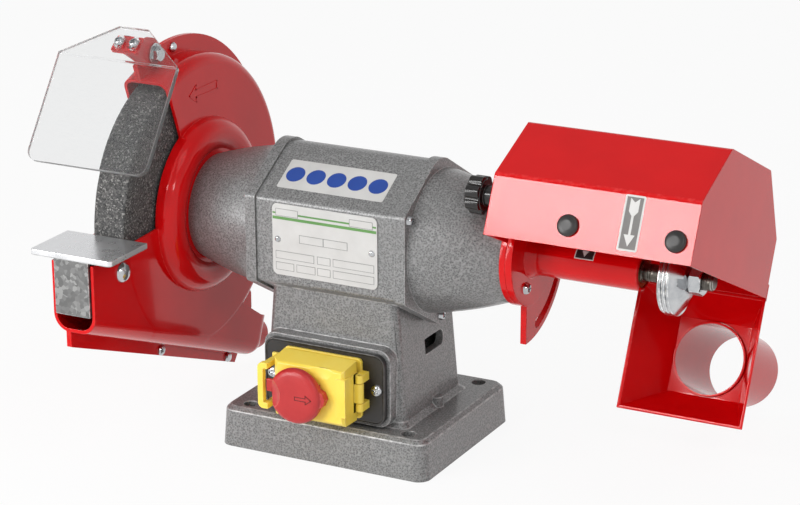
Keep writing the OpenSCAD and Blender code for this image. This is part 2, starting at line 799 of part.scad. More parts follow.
module terminal_block() {
    ways = 3;
    color("#e5e1d2") translate([16, shaft_y + 12, bottom_plate_z + bottom_plate_t]) difference() {
        cube([30, 14, 16]);
        for (i = [0:ways - 1]) translate([5 + i * 10, 7, 6]) cylinder(r = 2.5, h = 20);
    }
}

module cable_gland() {
    wall_y = shaft_y + ped_foot_d / 2;
    color(dark_plastic) translate([0, wall_y, gland_z]) rotate([0, 0, 90]) difference() {
        union() {
            rod_x(gland_r, -ped_wall - 4, 2);
            rod_x_hex(24, 6, 0.2);
            turn_x([[0, 6], [10, 6], [10, 11], [7.5, 16], [0, 16]]);
        }
        rod_x(4.2, -3 * ped_wall, 20);
    }
}

// Name plate on the housing's front face
name_plate_w = 82;
name_plate_h = 51.5;
name_plate_t = 1;
rivet_x = 36.8;

module name_plate() {
    color("#ecece6") at_shaft() difference() {
        translate([0, 0, 2]) slab_y(-hex_flat_r - name_plate_t, -hex_flat_r)
            rounded_rect(name_plate_w, name_plate_h, 4);
        for (x = [-1, 1]) translate([x * rivet_x, -hex_flat_r, 2]) rotate([90, 0, 0])
            cylinder(r = 1.5 + seat_clear, h = 4, center = true);
    }
}

module name_plate_rivets() {
    color(zinc) at_shaft() for (x = [-1, 1]) translate([x * rivet_x, -hex_flat_r - name_plate_t, 2])
        rotate([90, 0, 0]) pan_screw(1.5, 2.4, 1.2, name_plate_t);
}

// Switch
module switch_plate() {
    color(dark_plastic) translate([0, 0, switch_z]) difference() {
        union() {
            slab_y(plate_face, pad_face) rounded_rect(plate_w, plate_h, plate_corner_r);
            slab_y(plate_face - plate_rim_h, pad_face) difference() {
                rounded_rect(plate_w, plate_h, plate_corner_r);
                rounded_rect(plate_w - 2 * plate_rim_w, plate_h - 2 * plate_rim_w,
                    plate_corner_r - plate_rim_w);
            }
        }
        slab_y(plate_face - cut, pad_face + cut)
            square([switch_core_w + 1, switch_core_h + 1], center = true);
        for (x = [-1, 1]) translate([x * plate_screw_x, pad_face, 0]) rotate([90, 0, 0])
            cylinder(r = 2 + seat_clear, h = 3 * plate_t, center = true);
    }
}

module switch_plate_screws() {
    color(zinc) for (x = [-1, 1]) translate([x * plate_screw_x, plate_face, switch_z]) rotate([90, 0, 0])
        pan_screw(2 - seat_clear, 4.6, 2.6, plate_t + 8);
}

module switch_housing() {
    loop_bar = 4.5;
    loop_arm_w = 8;
    loop_h = 34;
    loop_corner_r = 4;
    loop_front = flap_face + 1;
    color(switch_yellow) difference() {
        union() {
            translate([0, 0, switch_z]) slab_y(flange_face, plate_face)
                rounded_rect(switch_flange_w, switch_flange_h, 3);
            translate([0, 0, switch_z]) slab_y(plate_face - cut, plate_face + switch_core_d)
                square([switch_core_w, switch_core_h], center = true);
            translate([0, 0, switch_z]) slab_y(core_front_face, flange_face + cut)
                rounded_rect(core_front_w, core_front_h, 2);
            // Latch loop on the left
            translate([loop_x + loop_arm_w, 0, latch_z]) slab_y(loop_front, loop_front + loop_bar)
                difference() {
                    rounded_rect(2 * loop_arm_w, loop_h, loop_corner_r);
                    square([2 * (loop_arm_w - loop_bar), loop_h - 2 * loop_bar], center = true);
                    translate([0, -loop_h]) square(2 * loop_h);
                }
            for (z = [-1, 1]) translate([loop_x, 0, latch_z + z * (loop_h - loop_bar) / 2 - loop_bar / 2]) {
                translate([loop_corner_r, loop_front + cut, 0])
                    cube([loop_arm_w - loop_corner_r, plate_face - loop_front - cut, loop_bar]);
                translate([0, flange_face, 0])
                    cube([-loop_x - switch_flange_w / 2 + cut, switch_flange_t, loop_bar]);
            }
            // Hinge ears on the right
            for (z = [-1, 1]) translate([0, 0, switch_z + z * (barrel_len / 2 + 3.4)]) {
                translate([hinge_x, hinge_y, 0]) cylinder(r = barrel_r, h = 6, center = true);
                translate([hinge_x - barrel_r, hinge_y, -3]) cube([2 * barrel_r, plate_face - hinge_y, 6]);
            }
        }
        translate([hinge_x, hinge_y, 0]) cylinder(r = hinge_pin_r + seat_clear, h = 3 * switch_z);
        for (x = [-1, 1]) translate([x * button_spread / 2, core_front_face, button_z]) rotate([90, 0, 0])
            cylinder(r = button_r + 0.4, h = 36, center = true);
    }
}

module flap_hinge_pin() {
    color(zinc) translate([hinge_x, hinge_y, switch_z])
        cylinder(r = hinge_pin_r, h = barrel_len + 12, center = true);
}

module switch_flap() {
    chamfer = 5;
    top_drop = 2.4;
    top_edge = flap_h / 2 - top_drop - 1.6;
    scoop_r = 36;
    scoop_place = [11, 34.4, 3.6];
    block_w = 7.5;
    block_proud = 0.8;
    rib_gap = 1.5;
    side = [[flap_left, flap_back], [flap_left, flap_face + chamfer], [flap_left + chamfer, flap_face],
        [flap_right - 2, flap_face], [flap_right, flap_face + 2], [flap_right, flap_back]];
    color(switch_yellow) difference() {
        union() {
            intersection() {
                translate([0, 0, switch_z - flap_h / 2]) linear_extrude(flap_h) polygon(side);
                translate([0, 0, switch_z]) slab_x(flap_left - cut, flap_right + cut)
                    polygon([[flap_back, -flap_h / 2], [flap_back, flap_h / 2],
                        [flap_face + 1.6, flap_h / 2 - top_drop], [flap_face, top_edge],
                        [flap_face, -flap_h / 2 + 3], [flap_face + 3, -flap_h / 2 + 0.5]]);
            }
            // Raised middle of the hinge side and its barrel
            translate([flap_right + 1.5 - block_w, flap_face - block_proud, switch_z - barrel_len])
                cube([block_w, flap_d + block_proud - 1, 2 * barrel_len]);
            translate([hinge_x, hinge_y, switch_z]) cylinder(r = barrel_r, h = barrel_len, center = true);
            translate([flap_right - 1, hinge_y - barrel_r, switch_z - barrel_len / 2])
                cube([hinge_x - flap_right + 1, 2 * barrel_r, barrel_len]);
        }
        translate([0, 0, switch_z]) slab_x(flap_left + flap_wall, flap_right - flap_wall)
            polygon([[flap_back + cut, flap_h / 2 - flap_wall], [flap_back + cut, -flap_h / 2 + flap_wall],
                [flap_face + flap_wall + 1, -flap_h / 2 + flap_wall],
                [flap_face + flap_wall + 1, flap_h / 2 - flap_wall - top_drop],
                [flap_back, flap_h / 2 - flap_wall]]);
        // Thumb scoop at the upper edge
        translate([scoop_place[0], flap_face - scoop_place[1], switch_z + top_edge + scoop_place[2]])
            sphere(r = scoop_r);
        translate([hinge_x, hinge_y, switch_z])
            cylinder(r = hinge_pin_r + run_clear, h = 3 * barrel_len, center = true);
        // Slot for the mushroom's stem, and the notch for its latch tongue
        translate([mushroom_x - stem_r - 0.5, flap_face - cut, mushroom_z - stem_r - 0.5])
            cube([2 * stem_r + 1 + latch_travel, 3 * flap_wall, 2 * stem_r + 1]);
        translate([flap_left - cut, flap_face + flap_wall + 1.2, latch_z - latch_h / 2 - 0.6])
            cube([3 * flap_wall, tongue_t + 1, latch_h + 1.2]);
        // Room round the hinge ears of the housing
        for (z = [-1, 1]) translate([hinge_x - barrel_r - 0.6, hinge_y - barrel_r - 0.6,
            switch_z + z * (barrel_len / 2 + 3.4) - 3.4]) cube([4 * barrel_r, 4 * barrel_r, 6.8]);
    }
    // Rib that meets the stop button when the flap is pressed
    color(switch_yellow) translate([button_spread / 2 - 2, flap_face + flap_wall, button_z - 2.5])
        cube([4, core_front_face - button_proud - rib_gap - flap_face - flap_wall, 5]);
}

stem_r = 6;
tongue_t = 2.6;

module stop_mushroom() {
    tongue_y = flap_face + flap_wall + 1.6;
    dome_y = flap_face - 0.5;
    color("#c8282c") {
        difference() {
            union() {
                translate([mushroom_x, dome_y, mushroom_z]) rotate([90, 0, 0])
                    rotate_extrude() polygon([[0, 0], [mushroom_r - 3, 0], [mushroom_r, 3],
                        [mushroom_r, mushroom_h - 4], [mushroom_r - 1.2, mushroom_h - 1.8],
                        [mushroom_r - 4, mushroom_h - 0.4], [mushroom_r * 0.5, mushroom_h],
                        [0, mushroom_h]]);
                // Pointed tab on the right
                translate([mushroom_x, 0, mushroom_z]) slab_y(dome_y - 6, dome_y)
                    polygon([[mushroom_r - 4, -7], [mushroom_r + 1, -5], [mushroom_r + 3, 0],
                        [mushroom_r + 1, 5], [mushroom_r - 4, 7]]);
            }
            // Thumb hollow on the left
            translate([mushroom_x - mushroom_r - 4, dome_y - mushroom_h - 10, mushroom_z]) sphere(r = 17);
        }
        translate([mushroom_x, dome_y - cut, mushroom_z]) rotate([-90, 0, 0])
            cylinder(r = stem_r, h = tongue_y - dome_y + tongue_t + cut);
        translate([loop_x + 5.6, tongue_y, latch_z - latch_h / 2])
            cube([mushroom_x - loop_x - 5.6, tongue_t, latch_h]);
    }
}

module push_button(x, tint) {
    color(tint) translate([x, core_front_face - button_proud, button_z]) rotate([-90, 0, 0]) {
        rotate_extrude() polygon([[0, 0], [button_r - 1.2, 0], [button_r, 1.2],
            [button_r, button_proud + 5], [3, button_proud + 5], [3, button_proud + 9],
            [0, button_proud + 9]]);
    }
}

module start_button() {
    push_button(-button_spread / 2, "#1f8a3b");
}

module stop_button() {
    push_button(button_spread / 2, "#c8282c");
}

// Guard
module chute_solid(inset, side_outline) {
    half_w = chute_half_w - inset;
    edge_r = chute_edge_r - inset;
    run = 260;
    section = [[-half_w, -half_w], [half_w, -half_w], [half_w, 80], [-half_w, 80]];
    intersection() {
        translate([wheel_mid, chute_rear_y, -chute_rear_z]) rotate([-chute_slope, 0, 0]) {
            rotate([90, 0, 0]) linear_extrude(run) rounded_outline(section, [edge_r, edge_r, 0.5, 0.5]);
            rotate_extrude() intersection() {
                rounded_outline(section, [edge_r, edge_r, 0.5, 0.5]);
                translate([0, -beyond]) square([beyond, 2 * beyond]);
            }
        }
        slab_x(-beyond, 0) polygon(side_outline);
    }
}

function drum_profile(r, rim, x0, x1) = concat([[0, x0]],
    [for (i = [0:6]) [r - rim + rim * sin(15 * i), x0 + rim - rim * cos(15 * i)]],
    [for (i = [0:6]) [r - rim + rim * cos(15 * i), x1 - rim + rim * sin(15 * i)]], [[0, x1]]);

// The drum, trimmed to the slope of the chute's floor
module drum_solid(inset) {
    r = guard_r - inset;
    x0 = guard_far + inset;
    x1 = guard_near - inset;
    low = -chute_half_w + inset;
    edge_r = chute_edge_r - inset;
    intersection() {
        turn_x(drum_profile(r, guard_rim_r - inset, x0, x1));
        translate([0, chute_rear_y, -chute_rear_z]) rotate([90 - chute_slope, 0, 0])
            translate([0, 0, -beyond]) linear_extrude(2 * beyond)
                rounded_outline([[x0, low], [x1, low], [x1, beyond], [x0, beyond]],
                    [edge_r, edge_r, 0.5, 0.5]);
    }
}

// Everything that the guard's sheet wraps, before it is hollowed
module guard_skin() {
    drum_solid(0);
    chute_solid(0, [[-chute_front, opening_low], [-opening_hub_r, opening_low + 3.5], [0, -60],
        [chute_rear_y + 5, -chute_rear_z + 14.5], [chute_rear_y + 40, -chute_rear_z],
        [chute_rear_y + 40, -200], [-chute_front, -200]]);
    rotate([0, 90, 0]) rotate_extrude() translate([collar_ring_r, guard_near]) circle(collar_r);
    tube_x(collar_ring_r - 8, hub_hole_r, -nose_left - hub_web_t, -nose_left);
    translate([0, -rest_bolt_y, -rest_bolt_z]) rod_x(rest_pad_r, guard_far, wheel_mid - chute_half_w + cut);
    turn_x([[0, far_dome_face], [far_dome_r - 10, far_dome_face], [far_dome_r - 4, far_dome_face + 2.5],
        [far_dome_r, far_dome_face + 9], [far_dome_r, guard_far + cut], [0, guard_far + cut]]);
    translate([wheel_mid, chute_rear_y, -chute_rear_z]) rotate([-chute_slope, 0, 0]) rotate([-90, 0, 0])
        cylinder(r = outlet_r + guard_wall, h = chute_half_w + outlet_len);
}

// The space inside the guard
module guard_hollow() {
    drum_solid(guard_wall);
    chute_solid(guard_wall, [[-2 * chute_front, 60], [-opening_hub_r, 60], [0, -55],
        [chute_rear_y + 3.5, -chute_rear_z + 12], [chute_rear_y + 40, -chute_rear_z - 4],
        [chute_rear_y + 40, -220], [-2 * chute_front, -220]]);
    difference() {
        rotate([0, 90, 0]) rotate_extrude() translate([collar_ring_r, guard_near])
            circle(collar_r - guard_wall);
        tube_x(collar_ring_r - 8, hub_hole_r, -nose_left - hub_web_t, -nose_left);
    }
    rod_x(collar_ring_r, guard_near - 2 * guard_wall, -nose_left - hub_web_t);
    turn_x([[0, far_dome_face + guard_wall], [far_dome_r - 11, far_dome_face + guard_wall],
        [far_dome_r - guard_wall, far_dome_face + 10],
        [far_dome_r - guard_wall, guard_far + 3 * guard_wall], [0, guard_far + 3 * guard_wall]]);
    translate([wheel_mid, chute_rear_y, -chute_rear_z]) rotate([-chute_slope, 0, 0]) rotate([-90, 0, 0])
        cylinder(r = outlet_r, h = chute_half_w + outlet_len + cut);
}

// Flat flange in the parting plane, with the strip under the chute and the shield's ear
module guard_flange_outline() {
    difference() {
        union() {
            circle(guard_flange_r);
            polygon([[-chute_front, -20], strip_front, strip_rear, [chute_rear_y + 8, -137],
                [chute_rear_y + 25, -113], [chute_rear_y + 25, -101], [chute_rear_y + 14, -84], [0, 0]]);
            translate([-pivot_y, pivot_z]) circle(ear_r);
        }
        polygon([strip_front, strip_rear, [strip_rear[0], -beyond], [strip_front[0], -beyond]]);
        guard_opening_outline();
    }
}

module guard_opening_outline() {
    difference() {
        polygon([opening_top_inner, opening_top_outer, [-90, 200], [-beyond, 200],
            [-beyond, opening_low], [-chute_front, opening_low], [-opening_hub_r, opening_low + 3.5],
            [-10, 0]]);
        circle(opening_hub_r);
    }
}

// One half of the guard between two planes across the shaft
module guard_half(x0, x1, flange_x0) {
    at_shaft() difference() {
        union() {
            intersection() {
                guard_skin();
                slab_x(x0, x1) square(2 * beyond, center = true);
            }
            slab_x(flange_x0, flange_x0 + guard_flange_t) guard_flange_outline();
        }
        guard_hollow();
        slab_x(-beyond, guard_near + collar_r + cut) guard_opening_outline();
        for (p = flange_screw_spots) translate([0, p[0], p[1]])
            rod_x(flange_screw_r + seat_clear, parting - 5, parting + 5);
        translate([0, -pivot_y, pivot_z]) rod_x(pivot_r + seat_clear, parting - 5, parting + 5);
        translate([0, -rest_bolt_y, -rest_bolt_z]) rod_x(rest_bolt_r + seat_clear, -beyond, 0);
        for (a = [90, 210, 330]) rotate([a, 0, 0]) translate([0, hub_screw_ring_r, 0])
            rod_x(2 + seat_clear, -nose_left - 8, -nose_left + cut);
    }
}

module guard_body() {
    color(guard_red) guard_half(parting, 0, parting);
}

module guard_cover() {
    color(guard_red) guard_half(-beyond, parting, parting - guard_flange_t);
}

module guard_flange_screws() {
    grip = 2 * guard_flange_t;
    color(zinc) at_shaft() for (p = flange_screw_spots)
        translate([parting + guard_flange_t, p[0], p[1]]) rotate([0, 90, 0]) {
            pan_screw(flange_screw_r, 3.7, 2.6, grip + 5);
            translate([0, 0, -grip - 3.6]) cylinder(r = 4, h = 3.6, $fn = 6);
        }
}

module guard_hub_screws() {
    color(zinc) at_shaft() for (a = [90, 210, 330]) rotate([a, 0, 0])
        translate([-nose_left - hub_web_t, hub_screw_ring_r, 0]) rotate([0, -90, 0])
            pan_screw(2, 3.6, 2.4, hub_web_t + 7);
}

// Tool rest with its clamp
module tool_rest() {
    web_x = wheel_mid - rest_web_t / 2;
    leg_x = wheel_mid - rest_leg_w / 2;
    web_top = rest_top - rest_t + cut;
    color(zinc) at_shaft() difference() {
        union() {
            translate([wheel_mid, (rest_front + rest_back) / 2, rest_top - rest_t]) linear_extrude(rest_t)
                rounded_outline([[-rest_w / 2, -rest_d / 2], [rest_w / 2, -rest_d / 2],
                    [rest_w / 2, rest_d / 2], [-rest_w / 2, rest_d / 2]], [3, 3, 0.6, 0.6]);
            translate([leg_x, rest_front + 1, rest_top - rest_leg_len])
                cube([rest_leg_w, rest_t, rest_leg_len - cut]);
            translate([web_x, rest_front + 2, -rest_bolt_z - 16])
                cube([rest_web_t, rest_web_back - rest_front - 2, web_top + rest_bolt_z + 16]);
        }
        // Slot for the clamp bolt, open towards the wheel
        translate([0, -rest_bolt_y, -rest_bolt_z]) {
            translate([0, -rest_slot_front, 0]) rod_x(rest_bolt_r + 0.5, -beyond, 0);
            translate([-beyond, -rest_slot_front, -rest_bolt_r - 0.5])
                cube([beyond, rest_slot_front + 60, 2 * rest_bolt_r + 1]);
        }
    }
}

module rest_clamp_bolt() {
    near = wheel_mid + chute_half_w;
    far = guard_far;
    color(zinc) at_shaft() translate([0, -rest_bolt_y, -rest_bolt_z])
        turn_x([[0, far - 12], [rest_bolt_r - 0.8, far - 12], [rest_bolt_r, far - 11], [rest_bolt_r, near],
            [rest_head_r, near], [rest_head_r - 0.6, near + 1.6], [rest_head_r * 0.7, near + 3.4],
            [rest_head_r * 0.35, near + 4.3], [0, near + 4.5]]);
}

module rest_clamp_nut() {
    far = guard_far;
    color(zinc) at_shaft() translate([0, -rest_bolt_y, -rest_bolt_z]) {
        tube_x(8, rest_bolt_r + seat_clear, far - 1.6, far);
        hex_nut_x(13, 6.5, rest_bolt_r + seat_clear, far - 8.1);
    }
}

// Eye shield: both panes fold along X, and their outlines lie in the pane's own plane
fold_gap = 0.3;
bracket_x = parting + guard_flange_t + fold_gap;
bracket_tab_w = 22;
shield_hole_r = 2;
shield_screw_span = 12;
tab_up = shield_top_h - 13;

module upper_pane_frame() {
    translate([wheel_mid, -shield_fold_y, shield_fold_z]) rotate([90 - shield_top_lean, 0, 0]) children();
}

module lower_pane_frame() {
    translate([wheel_mid, -shield_fold_y, shield_fold_z]) rotate([-90 - shield_pane_lean, 0, 0]) children();
}

module eye_shield() {
    r = shield_corner_r;
    fold = [-shield_fold_y, shield_fold_z];
    pane_down = [-sin(shield_pane_lean), -cos(shield_pane_lean)];
    pane_out = [-cos(shield_pane_lean), sin(shield_pane_lean)];
    top_up = [sin(shield_top_lean), cos(shield_top_lean)];
    top_out = [-cos(shield_top_lean), sin(shield_top_lean)];
    bend_out = (pane_out + top_out) / norm(pane_out + top_out);
    // How far the upper pane narrows on each side, per length
    taper = (shield_w - shield_top_w) / 2 / shield_top_h;
    past = 5;
    color([0.85, 0.92, 0.95, 0.45]) at_shaft() difference() {
        translate([wheel_mid, 0, 0]) slab_x(-shield_w / 2, shield_w / 2) polygon([
            fold + shield_pane_h * pane_down, fold, fold + shield_top_h * top_up,
            fold + shield_top_h * top_up + shield_t * top_out,
            fold + shield_t * bend_out / (bend_out * pane_out),
            fold + shield_pane_h * pane_down + shield_t * pane_out]);
        upper_pane_frame() for (side = [0, 1]) mirror([side, 0, 0]) translate([0, 0, -past])
            linear_extrude(shield_t + 2 * past) polygon([[shield_w / 2 + past * taper, -past],
                [shield_w, -past], [shield_w, shield_top_h + past],
                [shield_top_w / 2 - past * taper, shield_top_h + past]]);
        lower_pane_frame() for (side = [0, 1]) mirror([side, 0, 0]) translate([0, 0, -shield_t - past])
            linear_extrude(shield_t + 2 * past) translate([shield_w / 2 - r, shield_pane_h - r])
                difference() {
                    square(r + past);
                    circle(r);
                }
        upper_pane_frame() for (x = [-1, 1]) translate([x * shield_screw_span / 2, 0, -cut])
            linear_extrude(shield_t + 2 * cut) {
                translate([0, tab_up - 3]) circle(shield_hole_r + 0.2);
                translate([0, tab_up + 3]) circle(shield_hole_r + 0.2);
                translate([-shield_hole_r - 0.2, tab_up - 3]) square([2 * shield_hole_r + 0.4, 6]);
            }
    }
}

module shield_bracket() {
    arm_w = 13;
    tab_h = 14;
    fold = [-shield_fold_y, shield_fold_z];
    top_up = [sin(shield_top_lean), cos(shield_top_lean)];
    color(guard_red) at_shaft() difference() {
        union() {
            // Tab under the upper pane
            upper_pane_frame() translate([0, tab_up, -bracket_t]) linear_extrude(bracket_t)
                rounded_rect(bracket_tab_w, tab_h, 2);
            // Arm beside the guard's ear
            slab_x(bracket_x, bracket_x + bracket_t) rounded_outline([
                [-pivot_y + arm_w / 2, pivot_z - arm_w / 2], [-pivot_y + arm_w / 2, pivot_z + arm_w / 2],
                fold + (tab_up + tab_h / 2) * top_up, fold + (tab_up - tab_h / 2) * top_up,
                [-pivot_y - arm_w, pivot_z - arm_w / 2]], [5, 5, 0.2, 0.2, 3]);
        }
        translate([0, -pivot_y, pivot_z]) rod_x(pivot_r + run_clear, -beyond, 0);
        upper_pane_frame() for (x = [-1, 1]) translate([x * shield_screw_span / 2, tab_up, -3 * bracket_t])
            cylinder(r = shield_hole_r + seat_clear, h = 6 * bracket_t);
        // Nothing above the pane's underside
        upper_pane_frame() translate([-60, -40, 0]) cube([120, 120, 60]);
    }
}

module shield_screws() {
    color(zinc) at_shaft() upper_pane_frame() for (x = [-1, 1])
        translate([x * shield_screw_span / 2, tab_up, shield_t])
            pan_screw(shield_hole_r, 3.6, 2.2, shield_t + bracket_t + 2);
}

module shield_pivot_bolt() {
    grip = guard_flange_t + fold_gap + bracket_t + fold_gap;
    head_x = parting + grip;
    color(zinc) at_shaft() translate([0, -pivot_y, pivot_z]) {
        turn_x([[0, parting - guard_flange_t - 9], [pivot_r, parting - guard_flange_t - 9],
            [pivot_r, head_x], [7.5, head_x], [7.5, head_x + 1.4], [0, head_x + 1.4]]);
        rod_x_hex(10, 4.5, head_x + 1.3);
        rod_x_hex(10, 5, parting - guard_flange_t - 5);
    }
}

// Spindle tube and sector
module arbor_housing() {
    color(guard_red) at_shaft() difference() {
        union() {
            rod_x(flange_r, tube_flange_x, tube_flange_face);
            turn_x([[0, tube_flange_face - cut], [tube_r + 3, tube_flange_face - cut],
                [tube_r + 3, tube_flange_face], [tube_r + 1, tube_flange_face + 4],
                [tube_r, tube_flange_face + 8], [tube_r, tube_end - 1], [tube_r - 1, tube_end],
                [0, tube_end]]);
        }
        rod_x(tube_r - tube_wall, tube_flange_x - cut, tube_end + cut);
        for (a = arbor_screw_angles) rotate([a, 0, 0]) translate([0, arbor_screw_ring_r, 0])
            rod_x(2.5 + seat_clear, tube_flange_x - cut, tube_flange_face + cut);
    }
}

module arbor_flange_screws() {
    color(zinc) at_shaft() for (a = arbor_screw_angles) rotate([a, 0, 0])
        translate([tube_flange_face, arbor_screw_ring_r, 0]) rotate([0, 90, 0])
            pan_screw(2.5, 4.4, 3, tube_flange_t + sector_t + 7);
}

module arbor_bush() {
    color("#b08a45") at_shaft() tube_x(tube_r - tube_wall - seat_clear, shaft_tube_r + run_clear,
        tube_end - bush_len - 1, tube_end - 1);
}

// Points along an arc about the origin
function arc(r, from, to, steps) = [for (i = [0:steps]) let (a = from + (to - from) * i / steps)
    r * [cos(a), sin(a)]];

// Round end of the slot, without the points that the slot's sides already have
function cap(at, turn) = [for (i = [1:9]) let (a = at + turn + 18 * i)
    slot_r * [cos(at), sin(at)] + slot_w / 2 * [cos(a), sin(a)]];

module sector_plate() {
    slot_from = sector_from + 18;
    slot_to = sector_to - 8;
    color(guard_red) at_shaft() difference() {
        slab_x(sector_x, sector_x + sector_t) difference() {
            union() {
                intersection() {
                    circle(sector_r);
                    polygon(concat([[0, 0]], arc(2 * sector_r, sector_from, sector_to, 6)));
                }
                circle(flange_r);
            }
            circle(shaft_bearing_r + 4);
            polygon(concat(arc(slot_r + slot_w / 2, slot_from, slot_to, 48),
                cap(slot_to, 0), arc(slot_r - slot_w / 2, slot_to, slot_from, 48), cap(slot_from, 180)));
        }
        for (a = arbor_screw_angles) rotate([a, 0, 0]) translate([0, arbor_screw_ring_r, 0])
            rod_x(2.5 + seat_clear, sector_x - cut, sector_x + sector_t + cut);
    }
}

// Turning parts
module motor_shaft() {
    step_left = wheel_mid + wheel_stack;
    color("#8d9094") at_shaft() turn_x([[0, shaft_left_end], [shaft_wheel_r - 1.2, shaft_left_end],
        [shaft_wheel_r, shaft_left_end + 1.2], [shaft_wheel_r, step_left], [shaft_bearing_r, step_left],
        [shaft_bearing_r, -bearing_x + 1], [shaft_core_r, -bearing_x + 1], [shaft_core_r, bearing_x - 1],
        [shaft_bearing_r, bearing_x - 1], [shaft_bearing_r, nose_right + 2], [shaft_tube_r, nose_right + 2],
        [shaft_tube_r, tube_end], [spindle_r, tube_end], [spindle_r, spindle_tip - 1.2],
        [spindle_r - 1.2, spindle_tip], [0, spindle_tip]]);
}

module rotor_core() {
    bars = 18;
    color("#7b7d80") at_shaft() difference() {
        union() {
            tube_x(rotor_r, shaft_core_r + seat_clear, -stator_len / 2, stator_len / 2);
            for (side = [0, 1]) mirror([side, 0, 0])
                tube_x(rotor_r - 2, rotor_r - 8, stator_len / 2 - cut, stator_len / 2 + 5);
        }
        for (i = [0:bars - 1]) rotate([i * 360 / bars, 0, 0])
            translate([-stator_len / 2 - cut, rotor_r - 0.8, -0.6]) cube([stator_len + 2 * cut, 2, 1.2]);
    }
}

module grinding_wheel() {
    half = wheel_w / 2;
    edge = 1.5;
    bore = shaft_wheel_r + seat_clear;
    color("#4b4a49") at_shaft() turn_x([[bore, wheel_mid - half], [wheel_r - edge, wheel_mid - half],
        [wheel_r, wheel_mid - half + edge], [wheel_r, wheel_mid + half - edge],
        [wheel_r - edge, wheel_mid + half], [bore, wheel_mid + half]]);
}

module wheel_blotters() {
    half = wheel_w / 2;
    bore = shaft_wheel_r + seat_clear;
    color("#c9c2a5") at_shaft() for (x = [wheel_mid + half, wheel_mid - half - blotter_t])
        tube_x(wheel_flange_r + 2, bore, x, x + blotter_t);
}

module wheel_inner_flange() {
    x0 = wheel_mid + wheel_w / 2 + blotter_t;
    bore = shaft_wheel_r + seat_clear;
    color(zinc) at_shaft() turn_x([[bore, x0 + 1], [wheel_flange_r - 8, x0 + 1], [wheel_flange_r - 8, x0],
        [wheel_flange_r, x0], [wheel_flange_r, x0 + 3], [wheel_flange_r - 12, x0 + wheel_flange_t],
        [bore, x0 + wheel_flange_t]]);
}

module wheel_outer_flange() {
    x1 = wheel_mid - wheel_w / 2 - blotter_t;
    bore = shaft_wheel_r + seat_clear;
    color(zinc) at_shaft() turn_x([[bore, x1 - 1], [wheel_flange_r - 8, x1 - 1], [wheel_flange_r - 8, x1],
        [wheel_flange_r, x1], [wheel_flange_r, x1 - 3], [wheel_flange_r - 12, x1 - wheel_flange_t],
        [bore, x1 - wheel_flange_t]]);
}

module wheel_nut() {
    color(zinc) at_shaft() hex_nut_x(wheel_nut_af, wheel_nut_h, shaft_wheel_r + seat_clear, wheel_nut_x);
}

module clamp_disc(x0) {
    bore = spindle_r + seat_clear;
    turn_x([[bore, x0], [disc_r - 0.8, x0], [disc_r, x0 + 0.8], [disc_r, x0 + disc_t - 0.8],
        [disc_r - 0.8, x0 + disc_t], [bore, x0 + disc_t]]);
}

module spindle_inner_disc() {
    color(zinc) at_shaft() clamp_disc(disc_x);
}

module spindle_outer_disc() {
    color(zinc) at_shaft() clamp_disc(disc_x + disc_t);
}

module spindle_cone_flange() {
    bore = spindle_r + seat_clear;
    color(zinc) at_shaft() turn_x([[bore, cone_x], [disc_r - 0.6, cone_x], [disc_r, cone_x + 0.6],
        [disc_r, cone_x + 2], [cone_nose_r, cone_x + cone_len], [bore, cone_x + cone_len]]);
}

module spindle_nut() {
    color(zinc) at_shaft() hex_nut_x(spindle_nut_af, spindle_nut_h, spindle_r + seat_clear, spindle_nut_x);
}

// Hood. Convex outline moved inwards by d
function inset(points, d) = let (n = len(points)) [for (i = [0:n - 1])
    let (p = points[(i + n - 1) % n], q = points[i], r = points[(i + 1) % n],
        a = (q - p) / norm(q - p), b = (r - q) / norm(r - q),
        na = [-a[1], a[0]], nb = [-b[1], b[0]], m = (na + nb) / norm(na + nb))
    q + m * d / (m * na)];

stud_place = slot_r * [cos(stud_angle), sin(stud_angle)];

module hood_shell() {
    inner = inset(hood_outline, hood_t);
    open_below = concat([[inner[0][0], -50], [inner[1][0], -50]], [for (i = [2:5]) inner[i]]);
    color(guard_red) difference() {
        at_hood() difference() {
            slab_x(hood_start, hood_end) polygon(hood_outline);
            slab_x(hood_start + hood_t, hood_end - hood_t) polygon(open_below);
            rod_x(hood_notch_r, hood_start - cut, hood_start + 2 * hood_t);
            for (x = [0, 1]) translate([plug_x + x * plug_span, -hood_half_w, hood_edge + plug_z])
                rotate([90, 0, 0]) cylinder(r = plug_stem_r + seat_clear, h = 4 * hood_t, center = true);
        }
        at_shaft() translate([0, stud_place[0], stud_place[1]])
            rod_x(stud_r + seat_clear, hood_start - cut, hood_start + 2 * hood_t);
    }
}

plug_stem_r = 4;

module hood_plugs() {
    color(dark_plastic) at_hood() for (x = [0, 1])
        translate([plug_x + x * plug_span, -hood_half_w, hood_edge + plug_z]) rotate([90, 0, 0])
            pan_screw(plug_stem_r, plug_r, plug_h, hood_t + 2);
}

module funnel_hull(grow, y0, y1) {
    neck = 2 * (dust_r + 0.1 + grow);
    hull() {
        translate([funnel_mid_x, y0, funnel_mid_z])
            cube([funnel_w - 2 * (hood_t - grow), 0.02, funnel_h - 2 * (hood_t - grow)], center = true);
        translate([dust_x, y1, funnel_mid_z]) cube([neck, 0.02, neck], center = true);
    }
}

